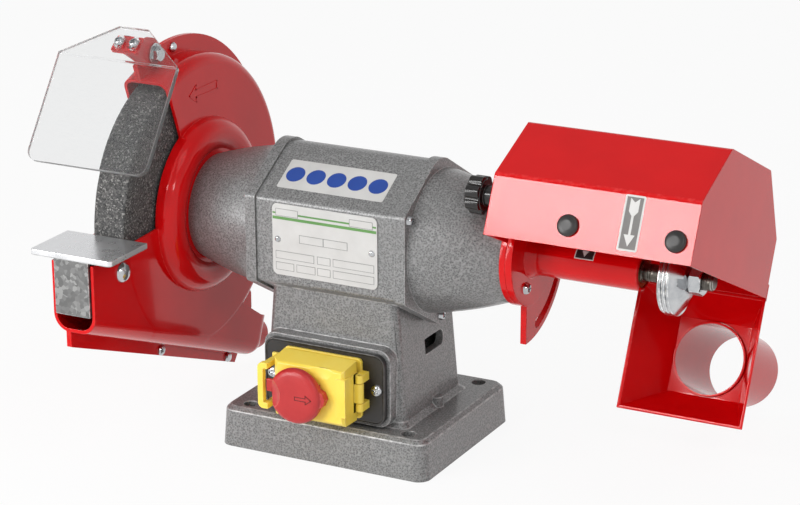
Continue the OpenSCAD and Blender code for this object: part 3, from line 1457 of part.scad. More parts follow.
module dust_funnel() {
    color(guard_red) at_hood() difference() {
        union() {
            funnel_hull(hood_t, hood_half_w, funnel_back);
            translate([funnel_x, hood_half_w, hood_edge - hood_t]) cube([funnel_w, hood_t, 10 + hood_t]);
        }
        difference() {
            funnel_hull(0, hood_half_w - 0.1, funnel_back - hood_t);
            translate([funnel_x, hood_half_w, hood_edge - 0.02]) cube([funnel_w, hood_t, 12]);
        }
        translate([dust_x, 0, funnel_mid_z]) rotate([-90, 0, 0])
            cylinder(r = dust_r + 0.1, h = funnel_back + 10);
    }
}

module dust_tube() {
    color(guard_red) at_hood() translate([dust_x, funnel_back - hood_t - dust_inset, funnel_mid_z])
        rotate([-90, 0, 0]) difference() {
            cylinder(r = dust_r, h = dust_len);
            translate([0, 0, -cut]) cylinder(r = dust_r - dust_wall, h = dust_len + 2 * cut);
        }
}

module clamp_stud() {
    color(zinc) at_shaft() translate([0, stud_place[0], stud_place[1]])
        turn_x([[0, knob_x + 3], [stud_r, knob_x + 3], [stud_r, hood_start + hood_t],
            [7, hood_start + hood_t], [7, hood_start + hood_t + 2], [3, hood_start + hood_t + 4],
            [0, hood_start + hood_t + 4]]);
}

module clamp_knob() {
    lobe_r = knob_r * 0.34;
    color(dark_plastic) at_shaft() translate([0, stud_place[0], stud_place[1]]) difference() {
        union() {
            rod_x(knob_r * 0.82, knob_x, knob_x + knob_t);
            for (i = [0:knob_lobes - 1]) rotate([i * 360 / knob_lobes, 0, 0])
                translate([0, knob_r - lobe_r, 0]) rod_x(lobe_r, knob_x + 0.8, knob_x + knob_t - 0.8);
            rod_x(7, knob_x + knob_t - cut, sector_x - 0.4);
        }
        rod_x(stud_r + run_clear, knob_x + 2.5, sector_x + cut);
    }
}

body_casting();
bottom_plate();
bottom_plate_screws();
left_end_bell();
right_end_bell();
end_bell_screws();
stator_core();
stator_windings();
left_bearing();
right_bearing();
run_capacitor();
terminal_block();
cable_gland();
name_plate();
name_plate_rivets();
switch_plate();
switch_plate_screws();
switch_housing();
flap_hinge_pin();
guard_body();
guard_cover();
guard_flange_screws();
guard_hub_screws();
rest_clamp_bolt();
rest_clamp_nut();
shield_pivot_bolt();
arbor_housing();
arbor_flange_screws();
arbor_bush();
sector_plate();
motor_shaft();
rotor_core();
grinding_wheel();
wheel_blotters();
wheel_inner_flange();
wheel_outer_flange();
wheel_nut();
spindle_inner_disc();
spindle_outer_disc();
spindle_cone_flange();
spindle_nut();
tool_rest();
shield_bracket();
eye_shield();
shield_screws();
hood_shell();
dust_funnel();
dust_tube();
hood_plugs();
clamp_stud();
clamp_knob();
switch_flap();
stop_mushroom();
start_button();
stop_button();
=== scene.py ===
import json
import math

import bmesh
import bpy
from mathutils import Matrix, Vector, noise


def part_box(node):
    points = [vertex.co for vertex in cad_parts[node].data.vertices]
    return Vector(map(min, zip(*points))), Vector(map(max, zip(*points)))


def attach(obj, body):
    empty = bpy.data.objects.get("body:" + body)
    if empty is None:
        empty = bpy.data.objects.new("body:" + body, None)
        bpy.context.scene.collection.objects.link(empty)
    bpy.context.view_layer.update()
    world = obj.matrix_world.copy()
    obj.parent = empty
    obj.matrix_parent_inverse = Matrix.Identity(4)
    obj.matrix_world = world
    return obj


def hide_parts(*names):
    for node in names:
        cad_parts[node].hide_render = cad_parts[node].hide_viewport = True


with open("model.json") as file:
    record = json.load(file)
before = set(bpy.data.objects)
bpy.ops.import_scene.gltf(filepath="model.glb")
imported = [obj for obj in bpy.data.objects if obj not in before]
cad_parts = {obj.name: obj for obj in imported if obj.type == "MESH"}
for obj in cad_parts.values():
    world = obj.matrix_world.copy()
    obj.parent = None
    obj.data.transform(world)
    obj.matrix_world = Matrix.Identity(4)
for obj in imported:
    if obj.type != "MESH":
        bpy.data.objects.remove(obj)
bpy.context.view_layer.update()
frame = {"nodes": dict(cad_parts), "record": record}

# Sizes in millimetres, as in the part's source
MM = 0.001
SHAFT_Y = -4.0
SHAFT_Z = 155.0
HEX_FLAT_R = 52.5
HOOD_TILT = 25.0
HOOD_FRONT = 78.6
RIM_FACE = 62.5
TUBE_FLANGE_FACE = 133.5
SWITCH_Z = 59.0
PLATE_FACE = -60.0
GUARD_NEAR = -128.0
TUBE_R = 13.5
TUBE_LABEL_X = 175.5
TUBE_LABEL_ANGLE = 47.0
WHEEL_MID = -145.5
SHIELD_FOLD = (-78.0, 121.0)
SHIELD_TOP_LEAN = 53.0
SHIELD_T = 4.0
SPINDLE_R = 6.0
TUBE_END = 215.0
SPINDLE_DISC = 233.5
SPINDLE_NUT_FACE = 257.9
SPINDLE_TIP = 265.0
REST_UNDERSIDE = 153.0
MUSHROOM = (-6.0, 57.5)
MUSHROOM_FACE = -95.0

# Degrees between two panels that make their edge a sheet bend
FOLD_TURNS = (30.0, 70.0)

scene = bpy.context.scene
body_of_node = {}
for body_name, members in frame["record"]["behaviour"]["bodies"].items():
    for member in members:
        body_of_node[member] = body_name


# Node helpers
def feed(tree, socket, value):
    """Gives a socket a link or a constant."""
    if isinstance(value, bpy.types.NodeSocket):
        tree.links.new(value, socket)
    else:
        socket.default_value = value


def math_node(tree, kind, a, b, clamp=False):
    """The result of one sum on two sockets or numbers."""
    node = tree.nodes.new("ShaderNodeMath")
    node.operation = kind
    node.use_clamp = clamp
    feed(tree, node.inputs[0], a)
    feed(tree, node.inputs[1], b)
    return node.outputs[0]


# Finishes
class Finish:
    """A material with short ways to add its nodes. Patterns sit on Object coordinates."""

    def __init__(self, name):
        self.material = bpy.data.materials.new(name)
        self.material.use_nodes = True
        self.tree = self.material.node_tree
        self.shader = self.tree.nodes["Principled BSDF"]
        self.place = self.tree.nodes.new("ShaderNodeTexCoord").outputs["Object"]

    def add(self, kind, **settings):
        node = self.tree.nodes.new(kind)
        for key, value in settings.items():
            setattr(node, key, value)
        return node

    def feed(self, socket, value):
        feed(self.tree, socket, value)

    def stretched(self, scale):
        node = self.add("ShaderNodeMapping")
        self.feed(node.inputs["Vector"], self.place)
        node.inputs["Scale"].default_value = scale
        return node.outputs["Vector"]

    def grain(self, scale, detail=3.0, rough=0.55, place=None):
        node = self.add("ShaderNodeTexNoise")
        self.feed(node.inputs["Vector"], place or self.place)
        node.inputs["Scale"].default_value = scale
        node.inputs["Detail"].default_value = detail
        node.inputs["Roughness"].default_value = rough
        return node.outputs["Fac"]

    def cells(self, scale, output="Distance", feature="F1"):
        node = self.add("ShaderNodeTexVoronoi", feature=feature)
        self.feed(node.inputs["Vector"], self.place)
        node.inputs["Scale"].default_value = scale
        return node.outputs[output]

    def ramp(self, factor, *stops):
        node = self.add("ShaderNodeValToRGB")
        self.feed(node.inputs["Fac"], factor)
        bar = node.color_ramp
        while len(bar.elements) < len(stops):
            bar.elements.new(0.5)
        for element, (spot, colour) in zip(bar.elements, stops):
            element.position = spot
            element.color = (*colour, 1.0) if len(colour) == 3 else colour
        return node.outputs["Color"]

    def level(self, factor, low, high, start=0.0, end=1.0):
        node = self.add("ShaderNodeMapRange")
        self.feed(node.inputs["Value"], factor)
        node.inputs["From Min"].default_value = start
        node.inputs["From Max"].default_value = end
        node.inputs["To Min"].default_value = low
        node.inputs["To Max"].default_value = high
        return node.outputs["Result"]

    def sum(self, kind, a, b):
        return math_node(self.tree, kind, a, b)

    def blend(self, factor, a, b):
        node = self.add("ShaderNodeMix", data_type="RGBA")
        self.feed(node.inputs["Factor"], factor)
        self.feed(node.inputs["A"], a if isinstance(a, bpy.types.NodeSocket) else (*a, 1.0))
        self.feed(node.inputs["B"], b if isinstance(b, bpy.types.NodeSocket) else (*b, 1.0))
        return node.outputs["Result"]

    def edge_wear_and_highlight(self, scale=180.0, start=0.35, end=0.65):
        """Mask of rounded edges, broken up by a patchy grain: rubbed wear, and in the hammer paint
        and red enamel also a painted edge highlight.
        """
        edge = self.add("ShaderNodeAttribute", attribute_name="rounded_edge")
        patchy = self.level(self.grain(scale, 2.0), 0.0, 1.0, start, end)
        return self.sum("MULTIPLY", edge.outputs["Fac"], patchy)

    def relief(self, height, strength, depth, under=None):
        node = self.add("ShaderNodeBump")
        self.feed(node.inputs["Height"], height)
        node.inputs["Strength"].default_value = strength
        node.inputs["Distance"].default_value = depth
        if under is not None:
            self.feed(node.inputs["Normal"], under)
        return node.outputs["Normal"]

    def surface(self, colour, rough, normal=None, **constants):
        self.feed(self.shader.inputs["Base Color"], colour)
        self.feed(self.shader.inputs["Roughness"], rough)
        if normal is not None:
            self.feed(self.shader.inputs["Normal"], normal)
        for key, value in constants.items():
            self.shader.inputs[key.replace("_", " ")].default_value = value
        return self.material


def hammer_paint():
    """Grey hammer finish: dimpled paint with light and dark flakes."""
    f = Finish("hammer_paint")
    flakes = f.cells(760.0)
    fine = f.grain(1700.0, 2.0)
    mottle = f.grain(45.0, 2.0)
    speckle = f.sum("ADD", f.sum("MULTIPLY", flakes, 0.62), f.sum("MULTIPLY", fine, 0.55))
    paint = f.ramp(speckle, (0.32, (0.045, 0.046, 0.047)), (0.46, (0.152, 0.153, 0.153)),
                   (0.80, (0.295, 0.295, 0.293)))
    shaded = f.blend(f.level(mottle, 0.0, 0.22, 0.35, 0.7), paint, (0.22, 0.22, 0.219))
    # Lighter rounded edges: partly rubbed paint, partly a painted highlight that stands in for the
    # edges' glints.
    rubbed = f.blend(f.sum("MULTIPLY", f.edge_wear_and_highlight(), 0.8), shaded, (0.54, 0.54, 0.535))
    dimples = f.relief(f.cells(560.0, feature="SMOOTH_F1"), 0.25, 0.0003)
    orange_peel = f.relief(f.grain(1500.0, 2.0), 0.12, 0.0002, dimples)
    return f.surface(rubbed, f.level(fine, 0.34, 0.54), orange_peel, Metallic=0.2, Coat_Weight=0.4,
                     Coat_Roughness=0.12)


def red_enamel():
    """Glossy red powder paint over sheet steel, with a light orange peel."""
    f = Finish("red_enamel")
    drift = f.grain(22.0, 2.0)
    paint = f.ramp(drift, (0.3, (0.62, 0.0015, 0.003)), (0.7, (0.69, 0.0025, 0.004)))
    # Brighter red on rounded edges: partly thin paint, partly a painted edge highlight.
    thin_paint_and_edge_highlight = f.blend(f.edge_wear_and_highlight(240.0, 0.45, 0.75), paint, (0.74, 0.035, 0.035))
    specks = f.ramp(f.cells(70.0), (0.012, (1.0, 1.0, 1.0)), (0.02, (0.0, 0.0, 0.0)))
    dusty = f.blend(f.sum("MULTIPLY", specks, 0.4), thin_paint_and_edge_highlight, (0.16, 0.004, 0.004))
    peel = f.relief(f.grain(260.0, 2.0), 0.035, 0.0005)
    rough = f.level(f.grain(90.0, 3.0), 0.08, 0.16)
    return f.surface(dusty, rough, peel, Specular_IOR_Level=0.2, Coat_Weight=0.2, Coat_Roughness=0.03)


def zinc_steel():
    """Bright zinc plate with a faint turned grain and small dull spots."""
    f = Finish("zinc_steel")
    cloud = f.grain(70.0, 4.0)
    plate = f.ramp(cloud, (0.3, (0.40, 0.41, 0.425)), (0.7, (0.60, 0.61, 0.62)))
    rubbed = f.blend(f.edge_wear_and_highlight(300.0), plate, (0.86, 0.86, 0.85))
    lines = f.grain(120.0, 3.0, 0.6, f.stretched((1.0, 9.0, 9.0)))
    return f.surface(rubbed, f.level(cloud, 0.09, 0.22, 0.3, 0.7), f.relief(lines, 0.06, 0.0003),
                     Metallic=1.0)


def galvanised_rest():
    """Tool rest: a bright ground top, and dull spangled zinc below it."""
    f = Finish("galvanised_rest")
    spangle = f.add("ShaderNodeSeparateColor")
    f.feed(spangle.inputs["Color"], f.cells(330.0, "Color"))
    leaves = f.ramp(spangle.outputs["Red"], (0.1, (0.16, 0.16, 0.158)), (0.6, (0.22, 0.22, 0.218)),
                    (0.95, (0.33, 0.33, 0.325)))
    cloud = f.grain(70.0, 4.0)
    ground = f.ramp(cloud, (0.3, (0.74, 0.745, 0.76)), (0.7, (0.86, 0.865, 0.88)))
    place = f.add("ShaderNodeSeparateXYZ")
    f.feed(place.inputs["Vector"], f.place)
    top = f.level(place.outputs["Z"], 0.0, 1.0, REST_UNDERSIDE * MM, (REST_UNDERSIDE + 1.0) * MM)
    metal = f.blend(top, leaves, ground)
    rubbed = f.blend(f.sum("MULTIPLY", f.edge_wear_and_highlight(300.0), 0.7), metal, (0.80, 0.80, 0.80))
    dull = f.level(spangle.outputs["Green"], 0.40, 0.58)
    satin = f.level(cloud, 0.22, 0.36, 0.3, 0.7)
    below = f.sum("MULTIPLY", dull, f.sum("SUBTRACT", 1.0, top))
    rough = f.sum("ADD", below, f.sum("MULTIPLY", satin, top))
    return f.surface(rubbed, rough, f.relief(f.grain(420.0, 3.0), 0.05, 0.0002), Metallic=0.9)


def dark_steel():
    """Turned steel with an oil-dark skin."""
    f = Finish("dark_steel")
    cloud = f.grain(140.0, 4.0)
    skin = f.ramp(cloud, (0.3, (0.075, 0.066, 0.055)), (0.7, (0.19, 0.175, 0.155)))
    rubbed = f.blend(f.edge_wear_and_highlight(300.0), skin, (0.45, 0.43, 0.40))
    turned = f.grain(900.0, 2.0, 0.5, f.stretched((1.0, 0.05, 0.05)))
    return f.surface(rubbed, f.level(cloud, 0.22, 0.42), f.relief(turned, 0.12, 0.0002), Metallic=1.0)


def motor_copper():
    """Varnished copper wire, wound round the shaft."""
    f = Finish("motor_copper")
    strands = f.grain(900.0, 2.0, 0.5, f.stretched((1.0, 0.15, 0.15)))
    wire = f.ramp(strands, (0.35, (0.17, 0.05, 0.02)), (0.65, (0.50, 0.19, 0.08)))
    return f.surface(wire, f.level(strands, 0.25, 0.5), f.relief(strands, 0.5, 0.0006), Metallic=0.8)


def bush_bronze():
    """Oil-soaked bearing bronze."""
    f = Finish("bush_bronze")
    pores = f.grain(800.0, 3.0)
    metal = f.ramp(pores, (0.35, (0.22, 0.12, 0.045)), (0.65, (0.45, 0.28, 0.11)))
    return f.surface(metal, f.level(pores, 0.28, 0.5), f.relief(pores, 0.15, 0.0002), Metallic=1.0)


def moulded_plastic(name, deep, bright, edge, low_rough, high_rough, pebble=0.1):
    """Moulded plastic: a cloudy colour, a fine pebbled skin and paler rubbed edges."""
    f = Finish(name)
    cloud = f.grain(55.0, 3.0)
    colour = f.ramp(cloud, (0.3, deep), (0.7, bright))
    rubbed = f.blend(f.sum("MULTIPLY", f.edge_wear_and_highlight(260.0), 0.7), colour, edge)
    skin = f.grain(1400.0, 2.0)
    return f.surface(rubbed, f.level(f.grain(210.0), low_rough, high_rough),
                     f.relief(skin, pebble, 0.0002))


def printed_plate(name, paper_colour, shade):
    """Printed sheet: a lightly clouded ground with a satin face."""
    f = Finish(name)
    cloud = f.grain(60.0, 3.0)
    ground = f.ramp(cloud, (0.3, shade), (0.7, paper_colour))
    rubbed = f.blend(f.sum("MULTIPLY", f.edge_wear_and_highlight(200.0), 0.5), ground, (0.75, 0.75, 0.74))
    return f.surface(rubbed, f.level(f.grain(300.0), 0.28, 0.42),
                     f.relief(f.grain(900.0), 0.05, 0.0001))


def abrasive_stone():
    """Bonded grit: dark and pale grains in a dull grey bond."""
    f = Finish("abrasive_stone")
    split = f.add("ShaderNodeSeparateColor")
    f.feed(split.inputs["Color"], f.cells(960.0, "Color"))
    stone = f.ramp(split.outputs["Red"], (0.05, (0.026, 0.026, 0.027)), (0.45, (0.070, 0.069, 0.068)),
                   (0.85, (0.125, 0.122, 0.118)), (0.98, (0.30, 0.29, 0.28)))
    dusty = f.blend(f.level(f.grain(60.0), 0.0, 0.3, 0.4, 0.8), stone, (0.13, 0.127, 0.122))
    pits = f.relief(f.cells(960.0), 0.55, 0.0007)
    skin = f.relief(f.grain(2200.0), 0.3, 0.0003, pits)
    return f.surface(dusty, f.level(split.outputs["Green"], 0.65, 0.95), skin)


def blotter_paper():
    """Thick blotting paper with soft fibres."""
    f = Finish("blotter_paper")
    fibres = f.grain(420.0, 5.0, 0.65)
    paper = f.ramp(fibres, (0.3, (0.30, 0.25, 0.17)), (0.7, (0.46, 0.40, 0.29)))
    return f.surface(paper, f.level(fibres, 0.8, 0.95), f.relief(fibres, 0.3, 0.0003))


def clear_acrylic():
    """Clear shield sheet with a few fine scuffs and dull sawn edges."""
    f = Finish("clear_acrylic")
    scuffs = f.grain(160.0, 4.0, 0.6, f.stretched((1.0, 6.0, 1.0)))
    haze = f.ramp(scuffs, (0.35, (0.90, 0.905, 0.905)), (0.7, (0.88, 0.887, 0.89)))
    edge = f.add("ShaderNodeAttribute", attribute_name="rounded_edge").outputs["Fac"]
    rough = f.sum("ADD", f.level(scuffs, 0.0, 0.05, 0.5, 0.75), f.sum("MULTIPLY", edge, 0.5))
    return f.surface(haze, rough, f.relief(scuffs, 0.008, 0.0002), Transmission_Weight=1.0, IOR=1.47)


finishes = {
    "hammer_paint": hammer_paint(),
    "red_paint": red_enamel(),
    "zinc_steel": zinc_steel(),
    "dark_steel": dark_steel(),
    "copper_wire": motor_copper(),
    "bronze": bush_bronze(),
    "black_plastic": moulded_plastic("black_moulding", (0.016, 0.0145, 0.014), (0.028, 0.026, 0.025),
                                     (0.09, 0.085, 0.08), 0.26, 0.44),
    "pale_plastic": moulded_plastic("pale_moulding", (0.42, 0.41, 0.37), (0.55, 0.54, 0.50),
                                    (0.7, 0.7, 0.68), 0.35, 0.55),
    "plate_white": printed_plate("plate_white", (0.62, 0.615, 0.60), (0.56, 0.555, 0.54)),
    "yellow_plastic": moulded_plastic("yellow_moulding", (0.96, 0.71, 0.075), (0.98, 0.76, 0.110),
                                      (0.95, 0.74, 0.22), 0.26, 0.44),
    "red_plastic": moulded_plastic("mushroom_red", (0.46, 0.020, 0.022), (0.54, 0.030, 0.030),
                                   (0.70, 0.10, 0.09), 0.26, 0.42),
    "green_plastic": moulded_plastic("button_green", (0.02, 0.20, 0.05), (0.03, 0.27, 0.07),
                                     (0.12, 0.42, 0.16), 0.3, 0.45),
    "abrasive": abrasive_stone(),
    "blotter_paper": blotter_paper(),
    "clear_plastic": clear_acrylic(),
}
rest_metal = galvanised_rest()
knob_black = moulded_plastic("knob_black", (0.009, 0.008, 0.008), (0.016, 0.015, 0.014),
                             (0.05, 0.047, 0.045), 0.10, 0.20, 0.04)
label_white = finishes["plate_white"]
green_ink = printed_plate("plate_green_ink", (0.126, 0.305, 0.083), (0.10, 0.26, 0.069))
grey_ink = printed_plate("plate_grey_ink", (0.26, 0.26, 0.26), (0.22, 0.22, 0.22))
blue_ink = printed_plate("strip_blue_ink", (0.014, 0.065, 0.34), (0.011, 0.052, 0.29))
# Painted shade: a darker red for the sunk arrow on the stop mushroom, standing for the shadow inside
# its engraving
groove_painted_shade = printed_plate("mushroom_groove_painted_shade", (0.17, 0.010, 0.010), (0.13, 0.008, 0.008))
label_grey = printed_plate("label_grey_ink", (0.115, 0.105, 0.098), (0.095, 0.088, 0.082))
label_black = printed_plate("label_black_ink", (0.018, 0.018, 0.018), (0.012, 0.012, 0.012))


# Making pieces
def show(name, mesh, finish):
    piece = bpy.data.objects.new(name, mesh)
    mesh.materials.clear()
    mesh.materials.append(finish)
    scene.collection.objects.link(piece)
    return piece


def baked(obj):
    """The object's mesh with its modifiers worked in."""
    bpy.context.view_layer.update()
    graph = bpy.context.evaluated_depsgraph_get()
    return bpy.data.meshes.new_from_object(obj.evaluated_get(graph), depsgraph=graph)


def crease(mesh, angle):
    """Smooth faces, with sharp edges kept sharp."""
    bm = bmesh.new()
    bm.from_mesh(mesh)
    for face in bm.faces:
        face.smooth = True
    for edge in bm.edges:
        edge.smooth = len(edge.link_faces) == 2 and edge.calc_face_angle(0.0) < math.radians(angle)
    bm.to_mesh(mesh)
    bm.free()


def even_normals(name, mesh):
    """Large faces keep their own normal, so that a small round beside them doesn't shade them."""
    holder = bpy.data.objects.new(name, mesh)
    scene.collection.objects.link(holder)
    weigh = holder.modifiers.new("even", "WEIGHTED_NORMAL")
    weigh.keep_sharp = True
    weigh.weight = 90
    result = baked(holder)
    bpy.data.objects.remove(holder)
    return result


def merged_mesh(node, join_flats):
    """A copy of a node's mesh with its triangles merged and, if wanted, its flat faces joined."""
    weld = 0.000004
    bm = bmesh.new()
    bm.from_mesh(frame["nodes"][node].data)
    bmesh.ops.remove_doubles(bm, verts=bm.verts, dist=weld)
    bmesh.ops.dissolve_degenerate(bm, dist=weld, edges=bm.edges)
    if join_flats:
        bmesh.ops.dissolve_limit(bm, angle_limit=math.radians(0.3), verts=bm.verts, edges=bm.edges,
                                 use_dissolve_boundaries=False)
    mesh = bpy.data.meshes.new(node + "_merged")
    bm.to_mesh(mesh)
    bm.free()
    return mesh


def weigh_folds(mesh, share):
    """Bends between two wide panels get the full round, other edges a share of it."""
    wide = 1500 * MM * MM
    least, most = FOLD_TURNS
    bm = bmesh.new()
    bm.from_mesh(mesh)
    weight = bm.edges.layers.float.new("bevel_weight_edge")
    for edge in bm.edges:
        turn = math.degrees(edge.calc_face_angle(0.0)) if len(edge.link_faces) == 2 else 0.0
        if turn < least:
            edge[weight] = 0.0
        elif least < turn < most and all(face.calc_area() > wide for face in edge.link_faces):
            edge[weight] = 1.0
        else:
            edge[weight] = share
    bm.to_mesh(mesh)
    bm.free()


def rounded(node, slot, width, angle=38.0, join_flats=True, finish=None, fold=0.0, sawn=False):
    """Stands for a node: sharp edges rounded by width and sheet bends by fold, in millimetres.

    With sawn, faces across the sheet count as part of the edge."""
    finish = finish or finishes[slot]
    mesh = merged_mesh(node, join_flats)
    if fold:
        weigh_folds(mesh, width / fold)
    # The bevel marks its new faces with the second material, until the edge attribute holds them
    mesh.materials.append(finish)
    mesh.materials.append(finish)
    for polygon in mesh.polygons:
        polygon.material_index = 0
    if width:
        holder = bpy.data.objects.new(node + "_holder", mesh)
        scene.collection.objects.link(holder)
        bevel = holder.modifiers.new("round", "BEVEL")
        bevel.width = max(width, fold) * MM
        bevel.segments = 4 if fold else 2
        bevel.limit_method = "WEIGHT" if fold else "ANGLE"
        bevel.angle_limit = math.radians(angle)
        bevel.use_clamp_overlap = False
        bevel.miter_outer = "MITER_ARC"
        bevel.material = 1
        mesh = baked(holder)
        bpy.data.objects.remove(holder)
    wide = 1000 * MM * MM
    alike = 0.8
    panes = [polygon.normal.copy() for polygon in mesh.polygons if polygon.area > wide]
    edge = mesh.attributes.new("rounded_edge", "FLOAT", "FACE")
    for polygon in mesh.polygons:
        across = sawn and all(abs(polygon.normal.dot(pane)) < alike for pane in panes)
        edge.data[polygon.index].value = 1.0 if across else float(polygon.material_index)
        polygon.material_index = 0
    crease(mesh, angle - 2.0)
    mesh = even_normals(node + "_even", mesh)
    piece = show(node + "_finished", mesh, finish)
    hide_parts(node)
    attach(piece, body_of_node[node])


def repaint(node, slot):
    """A node that stays as it is gets its finish."""
    obj = frame["nodes"][node]
    obj.data.materials.clear()
    obj.data.materials.append(finishes[slot])


def shaft_point(x, y, z):
    """A point given from the shaft's axis, in metres."""
    return Vector((x, y + SHAFT_Y, z + SHAFT_Z)) * MM


def plane_at(origin, across, up):
    """Places a flat drawing: x goes across, y goes up, z comes out of the surface."""
    across = Vector(across).normalized()
    up = Vector(up).normalized()
    out = across.cross(up)
    turn = Matrix((across, up, out)).transposed().to_4x4()
    return Matrix.Translation(Vector(origin)) @ turn


def round_corners(w, h, r, steps=6):
    """Outline of a rectangle w by h about its middle, corners rounded."""
    points = []
    for cx, cy, start in ((w / 2 - r, h / 2 - r, 0), (r - w / 2, h / 2 - r, 90),
                          (r - w / 2, r - h / 2, 180), (w / 2 - r, r - h / 2, 270)):
        for i in range(steps + 1):
            a = math.radians(start + 90 * i / steps)
            points.append((cx + r * math.cos(a), cy + r * math.sin(a)))
    return points


def disc_outline(x, y, r, steps=40):
    return [(x + r * math.cos(2 * math.pi * i / steps), y + r * math.sin(2 * math.pi * i / steps))
            for i in range(steps)]


def box_outline(x0, y0, x1, y1):
    return [(x0, y0), (x1, y0), (x1, y1), (x0, y1)]


def frame_bars(x0, y0, x1, y1, t):
    """Four narrow bars round a box."""
    return [box_outline(x0, y0, x1, y0 + t), box_outline(x0, y1 - t, x1, y1),
            box_outline(x0, y0 + t, x0 + t, y1 - t), box_outline(x1 - t, y0 + t, x1, y1 - t)]


def arrow_outline(length, shaft_w, head_w, head_l):
    """An arrow that points along x, its tail at 0."""
    neck = length - head_l
    return [(0, -shaft_w / 2), (neck, -shaft_w / 2), (neck, -head_w / 2), (length, 0),
            (neck, head_w / 2), (neck, shaft_w / 2), (0, shaft_w / 2)]


def shifted(points, dx, dy, turn=0.0):
    c = math.cos(math.radians(turn))
    s = math.sin(math.radians(turn))
    return [(dx + x * c - y * s, dy + x * s + y * c) for x, y in points]


def printed(name, outlines, place, low, high, finish, body):
    """Flat shapes in millimetres on a placed plane, from low to high above it."""
    bm = bmesh.new()
    for outline in outlines:
        bottom = [bm.verts.new(place @ (Vector((x, y, low)) * MM)) for x, y in outline]
        top = [bm.verts.new(place @ (Vector((x, y, high)) * MM)) for x, y in outline]
        bm.faces.new(top)
        bm.faces.new(list(reversed(bottom)))
        n = len(outline)
        for i in range(n):
            j = (i + 1) % n
            bm.faces.new((bottom[i], bottom[j], top[j], top[i]))
    bmesh.ops.recalc_face_normals(bm, faces=bm.faces)
    mesh = bpy.data.meshes.new(name)
    bm.to_mesh(mesh)
    bm.free()
    crease(mesh, 20.0)
    piece = show(name, mesh, finish)
    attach(piece, body)


def ridge_loop(outline, w):
    """A closed outline drawn as a line w wide: one four-cornered bar for each side."""
    bars = []
    n = len(outline)
    for i in range(n):
        a = Vector(outline[i])
        b = Vector(outline[(i + 1) % n])
        along = (b - a).normalized() * (w / 2)
        side = Vector((-along.y, along.x))
        bars.append([tuple(a - along - side), tuple(b + along - side), tuple(b + along + side),
                     tuple(a - along + side)])
    return bars


